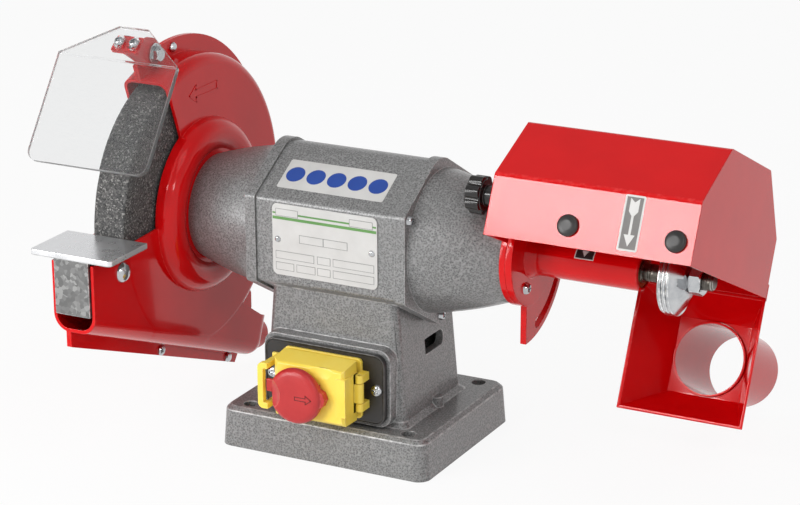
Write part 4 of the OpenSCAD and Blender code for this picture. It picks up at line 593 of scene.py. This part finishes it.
# Screws and rivets, repeated by one node tree
def screw_tree():
    tree = bpy.data.node_groups.new("pan_head_screws", "GeometryNodeTree")
    tree.is_modifier = True
    face = tree.interface

    def give(name, kind, value=None):
        socket = face.new_socket(name=name, in_out="INPUT", socket_type=kind)
        if value is not None:
            socket.default_value = value

    give("Geometry", "NodeSocketGeometry")
    give("Shank radius", "NodeSocketFloat", 0.002)
    give("Shank length", "NodeSocketFloat", 0.01)
    give("Head radius", "NodeSocketFloat", 0.004)
    give("Head height", "NodeSocketFloat", 0.0025)
    give("Cross recess", "NodeSocketBool", True)
    give("Nut radius", "NodeSocketFloat", 0.004)
    give("Nut height", "NodeSocketFloat", 0.0036)
    give("Nut below", "NodeSocketFloat", 0.004)
    give("With nut", "NodeSocketBool", False)
    give("Finish", "NodeSocketMaterial")
    face.new_socket(name="Geometry", in_out="OUTPUT", socket_type="NodeSocketGeometry")
    entry = tree.nodes.new("NodeGroupInput")
    leave = tree.nodes.new("NodeGroupOutput")

    def add(kind, **settings):
        node = tree.nodes.new(kind)
        for key, value in settings.items():
            setattr(node, key, value)
        return node

    def link(out, socket):
        tree.links.new(out, socket)

    def calc(kind, a, b):
        return math_node(tree, kind, a, b)

    def triple(x, y, z):
        node = add("ShaderNodeCombineXYZ")
        for socket, value in zip(node.inputs, (x, y, z)):
            feed(tree, socket, value)
        return node.outputs[0]

    head_r = entry.outputs["Head radius"]
    head_h = entry.outputs["Head height"]
    # Domed head: a ringed cone whose height is set again from its radius
    cone = add("GeometryNodeMeshCone")
    cone.inputs["Vertices"].default_value = 36
    cone.inputs["Side Segments"].default_value = 12
    cone.inputs["Radius Top"].default_value = 0.0
    link(head_r, cone.inputs["Radius Bottom"])
    link(head_h, cone.inputs["Depth"])
    spot = add("ShaderNodeSeparateXYZ")
    link(add("GeometryNodeInputPosition").outputs[0], spot.inputs[0])
    squared = calc("ADD", calc("MULTIPLY", spot.outputs[0], spot.outputs[0]),
                   calc("MULTIPLY", spot.outputs[1], spot.outputs[1]))
    share = calc("DIVIDE", calc("POWER", squared, 0.5), head_r)
    dome = calc("MULTIPLY", head_h, calc("SUBTRACT", 1.0, calc("POWER", share, 5.0)))
    lift = add("GeometryNodeSetPosition")
    link(cone.outputs["Mesh"], lift.inputs["Geometry"])
    link(triple(spot.outputs[0], spot.outputs[1], dome), lift.inputs["Position"])
    # Cross recess: two bars, one a little higher so that no two faces coincide
    arm_l = calc("MULTIPLY", head_r, 1.15)
    arm_w = calc("MULTIPLY", head_r, 0.24)
    cut = add("GeometryNodeMeshBoolean", operation="DIFFERENCE")
    link(lift.outputs["Geometry"], cut.inputs["Mesh 1"])
    for bar_x, bar_y, rise in ((arm_l, arm_w, 0.92), (arm_w, arm_l, 0.93)):
        bar = add("GeometryNodeMeshCube")
        link(triple(bar_x, bar_y, head_h), bar.inputs["Size"])
        place = add("GeometryNodeTransform")
        link(bar.outputs["Mesh"], place.inputs["Geometry"])
        link(triple(0.0, 0.0, calc("MULTIPLY", head_h, rise)), place.inputs["Translation"])
        link(place.outputs["Geometry"], cut.inputs["Mesh 2"])
    head = add("GeometryNodeSwitch", input_type="GEOMETRY")
    link(entry.outputs["Cross recess"], head.inputs["Switch"])
    link(lift.outputs["Geometry"], head.inputs["False"])
    link(cut.outputs["Mesh"], head.inputs["True"])
    # Shank and nut
    shank = add("GeometryNodeMeshCylinder")
    shank.inputs["Vertices"].default_value = 20
    link(entry.outputs["Shank radius"], shank.inputs["Radius"])
    link(entry.outputs["Shank length"], shank.inputs["Depth"])
    sink = add("GeometryNodeTransform")
    link(shank.outputs["Mesh"], sink.inputs["Geometry"])
    half_down = calc("MULTIPLY", entry.outputs["Shank length"], -0.5)
    link(triple(0.0, 0.0, half_down), sink.inputs["Translation"])
    nut = add("GeometryNodeMeshCylinder")
    nut.inputs["Vertices"].default_value = 6
    link(entry.outputs["Nut radius"], nut.inputs["Radius"])
    link(entry.outputs["Nut height"], nut.inputs["Depth"])
    under = add("GeometryNodeTransform")
    link(nut.outputs["Mesh"], under.inputs["Geometry"])
    half_nut = calc("MULTIPLY", entry.outputs["Nut height"], 0.5)
    nut_mid = calc("ADD", entry.outputs["Nut below"], half_nut)
    link(triple(0.0, 0.0, calc("MULTIPLY", nut_mid, -1.0)), under.inputs["Translation"])
    nut_switch = add("GeometryNodeSwitch", input_type="GEOMETRY")
    link(entry.outputs["With nut"], nut_switch.inputs["Switch"])
    link(under.outputs["Geometry"], nut_switch.inputs["True"])
    whole = add("GeometryNodeJoinGeometry")
    for part in (head.outputs[0], sink.outputs["Geometry"], nut_switch.outputs[0]):
        link(part, whole.inputs["Geometry"])
    # One screw on each point, facing out, each turned by its own amount
    facing = add("GeometryNodeInputNamedAttribute", data_type="FLOAT_VECTOR")
    facing.inputs["Name"].default_value = "facing"
    aim = add("FunctionNodeAlignRotationToVector", axis="Z")
    link(facing.outputs["Attribute"], aim.inputs["Vector"])
    chance = add("FunctionNodeRandomValue", data_type="FLOAT")
    chance.inputs[2].default_value = 0.0
    chance.inputs[3].default_value = 6.28
    chance.inputs["Seed"].default_value = 7
    spin = add("FunctionNodeAxisAngleToRotation")
    spin.inputs["Axis"].default_value = (0.0, 0.0, 1.0)
    link(chance.outputs[1], spin.inputs["Angle"])
    turn = add("FunctionNodeRotateRotation", rotation_space="LOCAL")
    link(aim.outputs["Rotation"], turn.inputs["Rotation"])
    link(spin.outputs["Rotation"], turn.inputs["Rotate By"])
    spread = add("GeometryNodeInstanceOnPoints")
    link(entry.outputs["Geometry"], spread.inputs["Points"])
    link(whole.outputs["Geometry"], spread.inputs["Instance"])
    link(turn.outputs["Rotation"], spread.inputs["Rotation"])
    real = add("GeometryNodeRealizeInstances")
    link(spread.outputs["Instances"], real.inputs["Geometry"])
    paint = add("GeometryNodeSetMaterial")
    link(real.outputs["Geometry"], paint.inputs["Geometry"])
    link(entry.outputs["Finish"], paint.inputs["Material"])
    link(paint.outputs["Geometry"], leave.inputs["Geometry"])
    return tree


def set_input(modifier, tree, name, value):
    for item in tree.interface.items_tree:
        if item.item_type == "SOCKET" and item.in_out == "INPUT" and item.name == name:
            modifier[item.identifier] = value


pan_heads = screw_tree()


def screws(node, seats, slot="zinc_steel", **sizes):
    """Screws that stand for a node, at seats of (point, facing) in metres. Sizes in millimetres."""
    mesh = bpy.data.meshes.new(node + "_seats")
    mesh.from_pydata([point for point, _ in seats], [], [])
    facing = mesh.attributes.new("facing", "FLOAT_VECTOR", "POINT")
    for i, (_, out) in enumerate(seats):
        facing.data[i].vector = Vector(out).normalized()
    holder = bpy.data.objects.new(node + "_seats", mesh)
    scene.collection.objects.link(holder)
    modifier = holder.modifiers.new("screws", "NODES")
    modifier.node_group = pan_heads
    for key, value in sizes.items():
        name = key.replace("_", " ").capitalize()
        set_input(modifier, pan_heads, name, value if isinstance(value, bool) else value * MM)
    set_input(modifier, pan_heads, "Finish", finishes[slot])
    result = baked(holder)
    bpy.data.objects.remove(holder)
    crease(result, 34.0)
    piece = show(node + "_finished", result, finishes[slot])
    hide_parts(node)
    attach(piece, body_of_node[node])


def round_shaft(radius, degrees):
    return [(radius * math.cos(math.radians(a)), radius * math.sin(math.radians(a))) for a in degrees]


bell_seats = [(shaft_point(side * RIM_FACE, y, z), (side, 0, 0))
              for side in (1, -1) for y, z in round_shaft(55.2, (30, 150, 270))]
screws("end_bell_screws", bell_seats, shank_radius=2, shank_length=22, head_radius=3.6, head_height=3)

arbor_seats = [(shaft_point(TUBE_FLANGE_FACE, y, z), (1, 0, 0))
               for y, z in round_shaft(24, (238, 358, 118))]
screws("arbor_flange_screws", arbor_seats, shank_radius=2.5, shank_length=16.5, head_radius=4.4,
       head_height=3)

plate_seats = [(Vector((x, PLATE_FACE, SWITCH_Z)) * MM, (0, -1, 0)) for x in (-41, 41)]
screws("switch_plate_screws", plate_seats, shank_radius=1.95, shank_length=11.5, head_radius=4.6,
       head_height=2.6)

rivet_seats = [(shaft_point(x, -HEX_FLAT_R - 1, 2), (0, -1, 0)) for x in (-36.8, 36.8)]
screws("name_plate_rivets", rivet_seats, shank_radius=1.5, shank_length=1, head_radius=2.4,
       head_height=1.2, cross_recess=False)

lean = math.radians(SHIELD_TOP_LEAN)
top_up = (math.sin(lean), math.cos(lean))
top_out = (-math.cos(lean), math.sin(lean))
shield_seats = []
up = 15.0
for x in (-6, 6):
    y = SHIELD_FOLD[0] + up * top_up[0] + SHIELD_T * top_out[0]
    z = SHIELD_FOLD[1] + up * top_up[1] + SHIELD_T * top_out[1]
    shield_seats.append((shaft_point(WHEEL_MID + x, y, z), (0, top_out[0], top_out[1])))
screws("shield_screws", shield_seats, shank_radius=2, shank_length=8.5, head_radius=3.6,
       head_height=2.2)


# Rounded copies of the nodes that show
for node, slot, width in (
        ("body_casting", "hammer_paint", 0.7), ("left_end_bell", "hammer_paint", 0.25),
        ("right_end_bell", "hammer_paint", 0.25), ("switch_plate", "black_plastic", 0.7),
        ("switch_housing", "yellow_plastic", 0.5), ("switch_flap", "yellow_plastic", 0.35),
        ("stop_mushroom", "red_plastic", 0.6), ("start_button", "green_plastic", 0.5),
        ("stop_button", "red_plastic", 0.5),
        ("guard_body", "red_paint", 0.4), ("guard_cover", "red_paint", 0.4),
        ("rest_clamp_bolt", "zinc_steel", 0.4), ("rest_clamp_nut", "zinc_steel", 0.2),
        ("shield_pivot_bolt", "zinc_steel", 0.25), ("shield_bracket", "red_paint", 0.3),
        ("arbor_housing", "red_paint", 0.5), ("sector_plate", "red_paint", 0.4),
        ("hood_plugs", "black_plastic", 0.4), ("clamp_stud", "zinc_steel", 0.3),
        ("spindle_inner_disc", "zinc_steel", 0.4), ("spindle_outer_disc", "zinc_steel", 0.4),
        ("spindle_cone_flange", "zinc_steel", 0.4), ("spindle_nut", "zinc_steel", 0.25),
        ("motor_shaft", "dark_steel", 0.4), ("name_plate", "plate_white", 0.2),
        ("bottom_plate", "dark_steel", 0.4), ("cable_gland", "black_plastic", 0.4)):
    rounded(node, slot, width)
rounded("tool_rest", "zinc_steel", 0.4, finish=rest_metal)
rounded("clamp_knob", "black_plastic", 0.7, finish=knob_black)
rounded("eye_shield", "clear_plastic", 0.35, angle=14.0, sawn=True)
rounded("hood_shell", "red_paint", 0.5, fold=2.0)
rounded("dust_funnel", "red_paint", 0.4, join_flats=False)
rounded("dust_tube", "red_paint", 0.3, join_flats=False)

# Nodes that keep their own mesh
for node, slot in (
        ("bottom_plate_screws", "zinc_steel"), ("stator_core", "dark_steel"),
        ("stator_windings", "copper_wire"), ("left_bearing", "zinc_steel"),
        ("right_bearing", "zinc_steel"), ("run_capacitor", "pale_plastic"),
        ("terminal_block", "pale_plastic"), ("flap_hinge_pin", "zinc_steel"),
        ("guard_flange_screws", "zinc_steel"),
        ("guard_hub_screws", "zinc_steel"), ("arbor_bush", "bronze"), ("rotor_core", "dark_steel"),
        ("wheel_blotters", "blotter_paper"), ("wheel_inner_flange", "dark_steel"),
        ("wheel_outer_flange", "dark_steel"), ("wheel_nut", "zinc_steel")):
    repaint(node, slot)


# Grinding wheel: turned from its outline, its skin broken up into grit
def grit_wheel():
    low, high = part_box("grinding_wheel")
    radius = (high[1] - low[1]) / 2
    bore = 0.0082
    chamfer = 0.0008
    grit_band = 0.002
    grit_depth = 0.0005
    grit_scale = 700.0
    face_steps = 12
    rim_steps = 14
    turns = 420
    rows = []
    for i in range(face_steps + 1):
        rows.append((high[0], bore + (radius - chamfer - bore) * i / face_steps))
    for i in range(rim_steps + 1):
        rows.append((high[0] - chamfer - (high[0] - low[0] - 2 * chamfer) * i / rim_steps, radius))
    for i in range(face_steps + 1):
        rows.append((low[0], radius - chamfer - (radius - chamfer - bore) * i / face_steps))
    bm = bmesh.new()
    rings = []
    for x, r in rows:
        ring = []
        for k in range(turns):
            a = 2 * math.pi * k / turns
            spot = Vector((x, SHAFT_Y * MM + r * math.cos(a), SHAFT_Z * MM + r * math.sin(a)))
            if r > radius - grit_band:
                # Grit: each point sinks a little, by a fixed noise
                drop = (0.5 + 0.5 * noise.noise(spot * grit_scale)) * grit_depth
                spot.y -= math.cos(a) * drop
                spot.z -= math.sin(a) * drop
            ring.append(bm.verts.new(spot))
        rings.append(ring)
    count = len(rings)
    for j in range(count):
        near = rings[j]
        far = rings[(j + 1) % count]
        for k in range(turns):
            m = (k + 1) % turns
            bm.faces.new((near[k], near[m], far[m], far[k]))
    bmesh.ops.recalc_face_normals(bm, faces=bm.faces)
    mesh = bpy.data.meshes.new("grinding_wheel_grit")
    bm.to_mesh(mesh)
    bm.free()
    crease(mesh, 50.0)
    piece = show("grinding_wheel_grit", mesh, finishes["abrasive"])
    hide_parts("grinding_wheel")
    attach(piece, "rotor")


grit_wheel()


# Thread on the spindle, before its discs and past its nut
def thread_tree():
    tree = bpy.data.node_groups.new("spindle_thread", "GeometryNodeTree")
    tree.is_modifier = True
    tree.interface.new_socket(name="Geometry", in_out="INPUT", socket_type="NodeSocketGeometry")
    for name in ("Thread radius", "Ridge radius", "Turns", "Length"):
        tree.interface.new_socket(name=name, in_out="INPUT", socket_type="NodeSocketFloat")
    tree.interface.new_socket(name="Finish", in_out="INPUT", socket_type="NodeSocketMaterial")
    tree.interface.new_socket(name="Geometry", in_out="OUTPUT", socket_type="NodeSocketGeometry")
    entry = tree.nodes.new("NodeGroupInput")
    leave = tree.nodes.new("NodeGroupOutput")
    helix = tree.nodes.new("GeometryNodeCurveSpiral")
    helix.inputs["Resolution"].default_value = 40
    ridge = tree.nodes.new("GeometryNodeCurvePrimitiveCircle")
    ridge.inputs["Resolution"].default_value = 4
    sweep = tree.nodes.new("GeometryNodeCurveToMesh")
    sweep.inputs["Fill Caps"].default_value = True
    lay = tree.nodes.new("GeometryNodeTransform")
    lay.inputs["Rotation"].default_value = (0.0, math.pi / 2, 0.0)
    real = tree.nodes.new("GeometryNodeRealizeInstances")
    paint = tree.nodes.new("GeometryNodeSetMaterial")
    link = tree.links.new
    link(entry.outputs["Turns"], helix.inputs["Rotations"])
    link(entry.outputs["Thread radius"], helix.inputs["Start Radius"])
    link(entry.outputs["Thread radius"], helix.inputs["End Radius"])
    link(entry.outputs["Length"], helix.inputs["Height"])
    link(entry.outputs["Ridge radius"], ridge.inputs["Radius"])
    link(helix.outputs["Curve"], sweep.inputs["Curve"])
    link(ridge.outputs["Curve"], sweep.inputs["Profile Curve"])
    link(sweep.outputs["Mesh"], lay.inputs["Geometry"])
    link(lay.outputs["Geometry"], real.inputs["Geometry"])
    link(real.outputs["Geometry"], paint.inputs["Geometry"])
    link(entry.outputs["Finish"], paint.inputs["Material"])
    link(paint.outputs["Geometry"], leave.inputs["Geometry"])
    return tree


threads = thread_tree()


def spindle_thread(name, start, end):
    holder = bpy.data.objects.new(name + "_path", bpy.data.meshes.new(name + "_path"))
    scene.collection.objects.link(holder)
    modifier = holder.modifiers.new("thread", "NODES")
    modifier.node_group = threads
    pitch = 1.5
    sunk = 0.3
    ridge = 0.55
    set_input(modifier, threads, "Thread radius", (SPINDLE_R - sunk) * MM)
    set_input(modifier, threads, "Ridge radius", ridge * MM)
    set_input(modifier, threads, "Turns", (end - start) / pitch)
    set_input(modifier, threads, "Length", (end - start) * MM)
    set_input(modifier, threads, "Finish", finishes["dark_steel"])
    mesh = baked(holder)
    bpy.data.objects.remove(holder)
    mesh.transform(Matrix.Translation(shaft_point(start, 0, 0)))
    crease(mesh, 30.0)
    piece = show(name, mesh, finishes["dark_steel"])
    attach(piece, "rotor")


spindle_thread("spindle_end_thread", SPINDLE_NUT_FACE + 1.0, SPINDLE_TIP - 1.6)
spindle_thread("spindle_neck_thread", TUBE_END + 4.0, SPINDLE_DISC - 1.0)


# Print on the name plate: two green stripes and empty boxes
def plate_print():
    w = 82.0
    h = 51.5
    line = 0.32
    place = plane_at(shaft_point(0, -HEX_FLAT_R - 1, 2), (1, 0, 0), (0, 0, 1))

    def at(u0, v0, u1, v1):
        return (u0 - 0.5) * w, (0.5 - v1) * h, (u1 - 0.5) * w, (0.5 - v0) * h

    stripes = [box_outline(*at(0.006, 0.118, 0.994, 0.142)),
               box_outline(*at(0.006, 0.177, 0.994, 0.217))]
    printed("plate_stripes", stripes, place, 0.0, 0.06, green_ink, "frame")
    boxes = ((0.035, 0.066, 0.25, 0.168), (0.74, 0.066, 0.96, 0.168), (0.26, 0.40, 0.49, 0.515),
             (0.49, 0.40, 0.72, 0.515), (0.03, 0.66, 0.40, 0.77), (0.43, 0.66, 0.555, 0.77),
             (0.58, 0.66, 0.97, 0.77), (0.03, 0.82, 0.205, 0.93), (0.23, 0.82, 0.41, 0.93),
             (0.43, 0.82, 0.555, 0.93), (0.58, 0.82, 0.97, 0.93))
    lines = []
    grounds = []
    for spot in boxes:
        x0, y0, x1, y1 = at(*spot)
        lines += frame_bars(x0, y0, x1, y1, line)
        grounds.append(box_outline(x0, y0, x1, y1))
    printed("plate_box_grounds", grounds, place, 0.0, 0.09, label_white, "frame")
    printed("plate_boxes", lines, place, 0.0, 0.13, grey_ink, "frame")


plate_print()


# Strip with plain blue discs on the housing's upper front face
def disc_strip():
    tilt = math.radians(60)
    along = -2
    rise = -5.5
    out = (0, -math.cos(tilt), math.sin(tilt))
    up = (0, math.sin(tilt), math.cos(tilt))
    middle = shaft_point(along, 0, 0) + Vector(out) * HEX_FLAT_R * MM + Vector(up) * rise * MM
    place = plane_at(middle, (1, 0, 0), up)
    sheet = round_corners(83, 27, 1.5)
    printed("disc_strip", [sheet], place, -0.05, 0.15, label_white, "frame")
    first = -32.4
    pitch = 16.2
    discs = [disc_outline(first + pitch * i, 0, 7.0) for i in range(5)]
    printed("disc_strip_discs", discs, place, 0.0, 0.2, blue_ink, "frame")


disc_strip()


# Arrow label on the hood's front panel
def hood_label():
    along = 230.2
    rise = 22.8
    c = math.cos(math.radians(HOOD_TILT))
    s = math.sin(math.radians(HOOD_TILT))
    up = (0, s, c)
    middle = shaft_point(along, -HOOD_FRONT * c + rise * s, HOOD_FRONT * s + rise * c)
    place = plane_at(middle, (1, 0, 0), up)
    sheet = round_corners(14.0, 36.6, 1.2)
    ground = box_outline(-5.7, -17.0, 5.7, 17.0)
    printed("hood_label", [sheet], place, -0.05, 0.12, label_white, "hood")
    printed("hood_label_ground", [ground], place, 0.0, 0.16, label_grey, "hood")
    shaft = shifted(arrow_outline(25.5, 1.7, 7.6, 7.6), 0.0, 10.3, -90)
    fletch = [(-3.2, 16.3), (0, 13.6), (3.2, 16.3), (3.2, 7.6), (0.8, 4.6), (-0.8, 4.6), (-3.2, 7.6)]
    printed("hood_label_arrow", [shaft], place, 0.0, 0.2, label_white, "hood")
    printed("hood_label_fletch", [fletch], place, 0.0, 0.22, label_white, "hood")


hood_label()


# Small arrow label on the spindle tube
def wrapped(name, outlines, low, high, finish):
    """Boxes wrapped round the spindle tube: x along it, y round it."""
    steps = 8
    bm = bmesh.new()

    def spot(x, y, lift):
        r = TUBE_R + lift
        a = math.radians(TUBE_LABEL_ANGLE) + y / TUBE_R
        return bm.verts.new(shaft_point(TUBE_LABEL_X + x, -r * math.cos(a), r * math.sin(a)))

    for x0, y0, x1, y1 in outlines:
        rows = []
        for i in range(steps + 1):
            y = y0 + (y1 - y0) * i / steps
            rows.append((spot(x0, y, low), spot(x1, y, low), spot(x1, y, high), spot(x0, y, high)))
        for a, b in zip(rows, rows[1:]):
            for i in range(4):
                j = (i + 1) % 4
                bm.faces.new((a[i], a[j], b[j], b[i]))
        bm.faces.new(rows[0])
        bm.faces.new(rows[-1])
    bmesh.ops.recalc_face_normals(bm, faces=bm.faces)
    mesh = bpy.data.meshes.new(name)
    bm.to_mesh(mesh)
    bm.free()
    crease(mesh, 30.0)
    piece = show(name, mesh, finish)
    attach(piece, "frame")


wrapped("tube_label", [(-7, -4.6, 7, 4.6)], -0.05, 0.1, label_white)
wrapped("tube_label_ground", [(-6.3, -3.9, 6.3, 3.9)], 0.0, 0.14, label_black)
tube_arrow = [(-0.5 * i - 0.25, -2.6 + 0.9 * i, 0.5 * i + 0.25, -1.7 + 0.9 * i) for i in range(5)]
wrapped("tube_label_arrow", tube_arrow, 0.0, 0.18, label_white)


# Arrows drawn in line: wheel direction on the guard, slide direction on the mushroom. The mushroom's
# arrow is sunk, and its darker red is painted shade in the groove.
guard_arrow = arrow_outline(37, 5.5, 12, 9)
guard_place = plane_at(shaft_point(GUARD_NEAR, 20, 84), (0, 1, 0), (0, 0, 1))
printed("guard_arrow", ridge_loop([(-x, y) for x, y in guard_arrow], 0.9), guard_place, -0.2, 0.4,
        finishes["red_paint"], "frame")
knob_place = plane_at(Vector((MUSHROOM[0], MUSHROOM_FACE, MUSHROOM[1])) * MM, (1, 0, 0), (0, 0, 1))
knob_arrow = shifted(arrow_outline(12.5, 2.4, 6.2, 4.2), 1.8, 0.0)
printed("mushroom_arrow", ridge_loop(knob_arrow, 0.55), knob_place, -0.7, 0.12, groove_painted_shade,
        "stop_mushroom")


# Floor, light and camera
def white_stage():
    mesh = bpy.data.meshes.new("floor")
    half = 30.0
    level = -0.0002
    own_light = 0.91
    corners = [(x, y, level) for x, y in box_outline(-half, -half, half, half)]
    mesh.from_pydata(corners, [], [(0, 1, 2, 3)])
    floor = bpy.data.objects.new("floor", mesh)
    scene.collection.objects.link(floor)
    paint = bpy.data.materials.new("floor_white")
    paint.use_nodes = True
    tree = paint.node_tree
    tree.nodes.clear()
    diffuse = tree.nodes.new("ShaderNodeBsdfDiffuse")
    diffuse.inputs["Color"].default_value = (0.95, 0.95, 0.95, 1.0)
    glow = tree.nodes.new("ShaderNodeEmission")
    glow.inputs["Strength"].default_value = 1.0
    path = tree.nodes.new("ShaderNodeLightPath")
    seen = math_node(tree, "ADD", path.outputs["Is Camera Ray"], path.outputs["Is Glossy Ray"])
    seen = math_node(tree, "ADD", seen, path.outputs["Is Transmission Ray"], clamp=True)
    share = math_node(tree, "MULTIPLY", seen, own_light)
    mixed = tree.nodes.new("ShaderNodeMixShader")
    out = tree.nodes.new("ShaderNodeOutputMaterial")
    tree.links.new(share, mixed.inputs["Fac"])
    tree.links.new(diffuse.outputs[0], mixed.inputs[1])
    tree.links.new(glow.outputs[0], mixed.inputs[2])
    tree.links.new(mixed.outputs[0], out.inputs["Surface"])
    mesh.materials.append(paint)


def white_world():
    least_light = 0.45
    world = bpy.data.worlds.new("studio_white")
    scene.world = world
    world.use_nodes = True
    tree = world.node_tree
    tree.nodes.clear()
    path = tree.nodes.new("ShaderNodeLightPath")
    seen = math_node(tree, "ADD", path.outputs["Is Camera Ray"], path.outputs["Is Transmission Ray"])
    # Overhead the studio is dimmer, so that glossy paint keeps its colour there
    view = tree.nodes.new("ShaderNodeTexCoord")
    axes = tree.nodes.new("ShaderNodeSeparateXYZ")
    tree.links.new(view.outputs["Generated"], axes.inputs[0])
    height = tree.nodes.new("ShaderNodeMapRange")
    height.inputs["From Min"].default_value = 0.15
    height.inputs["From Max"].default_value = 0.65
    height.inputs["To Min"].default_value = 1.0
    height.inputs["To Max"].default_value = 0.5
    tree.links.new(axes.outputs["Z"], height.inputs["Value"])
    gloss = math_node(tree, "MULTIPLY", height.outputs["Result"], path.outputs["Is Glossy Ray"])
    strongest = math_node(tree, "MAXIMUM", seen, gloss)
    light = math_node(tree, "MAXIMUM", strongest, least_light, clamp=True)
    sky = tree.nodes.new("ShaderNodeBackground")
    sky.inputs["Color"].default_value = (1.0, 1.0, 1.0, 1.0)
    tree.links.new(light, sky.inputs["Strength"])
    out = tree.nodes.new("ShaderNodeOutputWorld")
    tree.links.new(sky.outputs[0], out.inputs["Surface"])


def soft_light(name, spot, target, width, height, watts):
    lamp = bpy.data.lights.new(name, "AREA")
    lamp.shape = "RECTANGLE"
    lamp.size = width
    lamp.size_y = height
    lamp.energy = watts
    obj = bpy.data.objects.new(name, lamp)
    spot = Vector(spot)
    aim = (Vector(target) - spot).to_track_quat("-Z", "Y")
    obj.matrix_world = Matrix.Translation(spot) @ aim.to_matrix().to_4x4()
    scene.collection.objects.link(obj)


def photo_camera():
    yaw = math.radians(27.73)
    pitch = math.radians(18.41)
    roll = math.radians(-0.38)
    ahead = Vector((-math.sin(yaw) * math.cos(pitch), math.cos(yaw) * math.cos(pitch),
                    -math.sin(pitch)))
    right = Vector((math.cos(yaw), math.sin(yaw), 0.0))
    upward = right.cross(ahead)
    right_rolled = math.cos(roll) * right + math.sin(roll) * upward
    up_rolled = -math.sin(roll) * right + math.cos(roll) * upward
    lens = bpy.data.cameras.new("photo_camera")
    lens.sensor_fit = "HORIZONTAL"
    lens.sensor_width = 36.0
    lens.lens = 123.17
    lens.clip_end = 100.0
    camera = bpy.data.objects.new("photo_camera", lens)
    turn = Matrix((right_rolled, up_rolled, -ahead)).transposed().to_4x4()
    camera.matrix_world = Matrix.Translation(Vector((0.8746, -1.6098, 0.7450))) @ turn
    scene.collection.objects.link(camera)
    scene.camera = camera


white_stage()
white_world()
soft_light("front_softbox", (-0.30, -1.11, 0.85), (0.05, 0.0, 0.19), 0.34, 0.15, 3.4)
soft_light("left_fill", (-0.9, -1.3, 0.5), (0.0, 0.0, 0.12), 0.7, 0.7, 12.5)
soft_light("right_softbox", (0.95, -0.91, 0.83), (-0.1, -0.05, 0.18), 0.22, 0.22, 2.2)
soft_light("right_fill", (0.9, -0.4, 1.6), (0.0, 0.0, 0.12), 0.8, 0.8, 2.2)
soft_light("top_strip", (0.05, -0.30, 1.55), (0.05, 0.0, 0.1), 1.2, 0.35, 0.5)
photo_camera()
scene.view_settings.view_transform = "Standard"
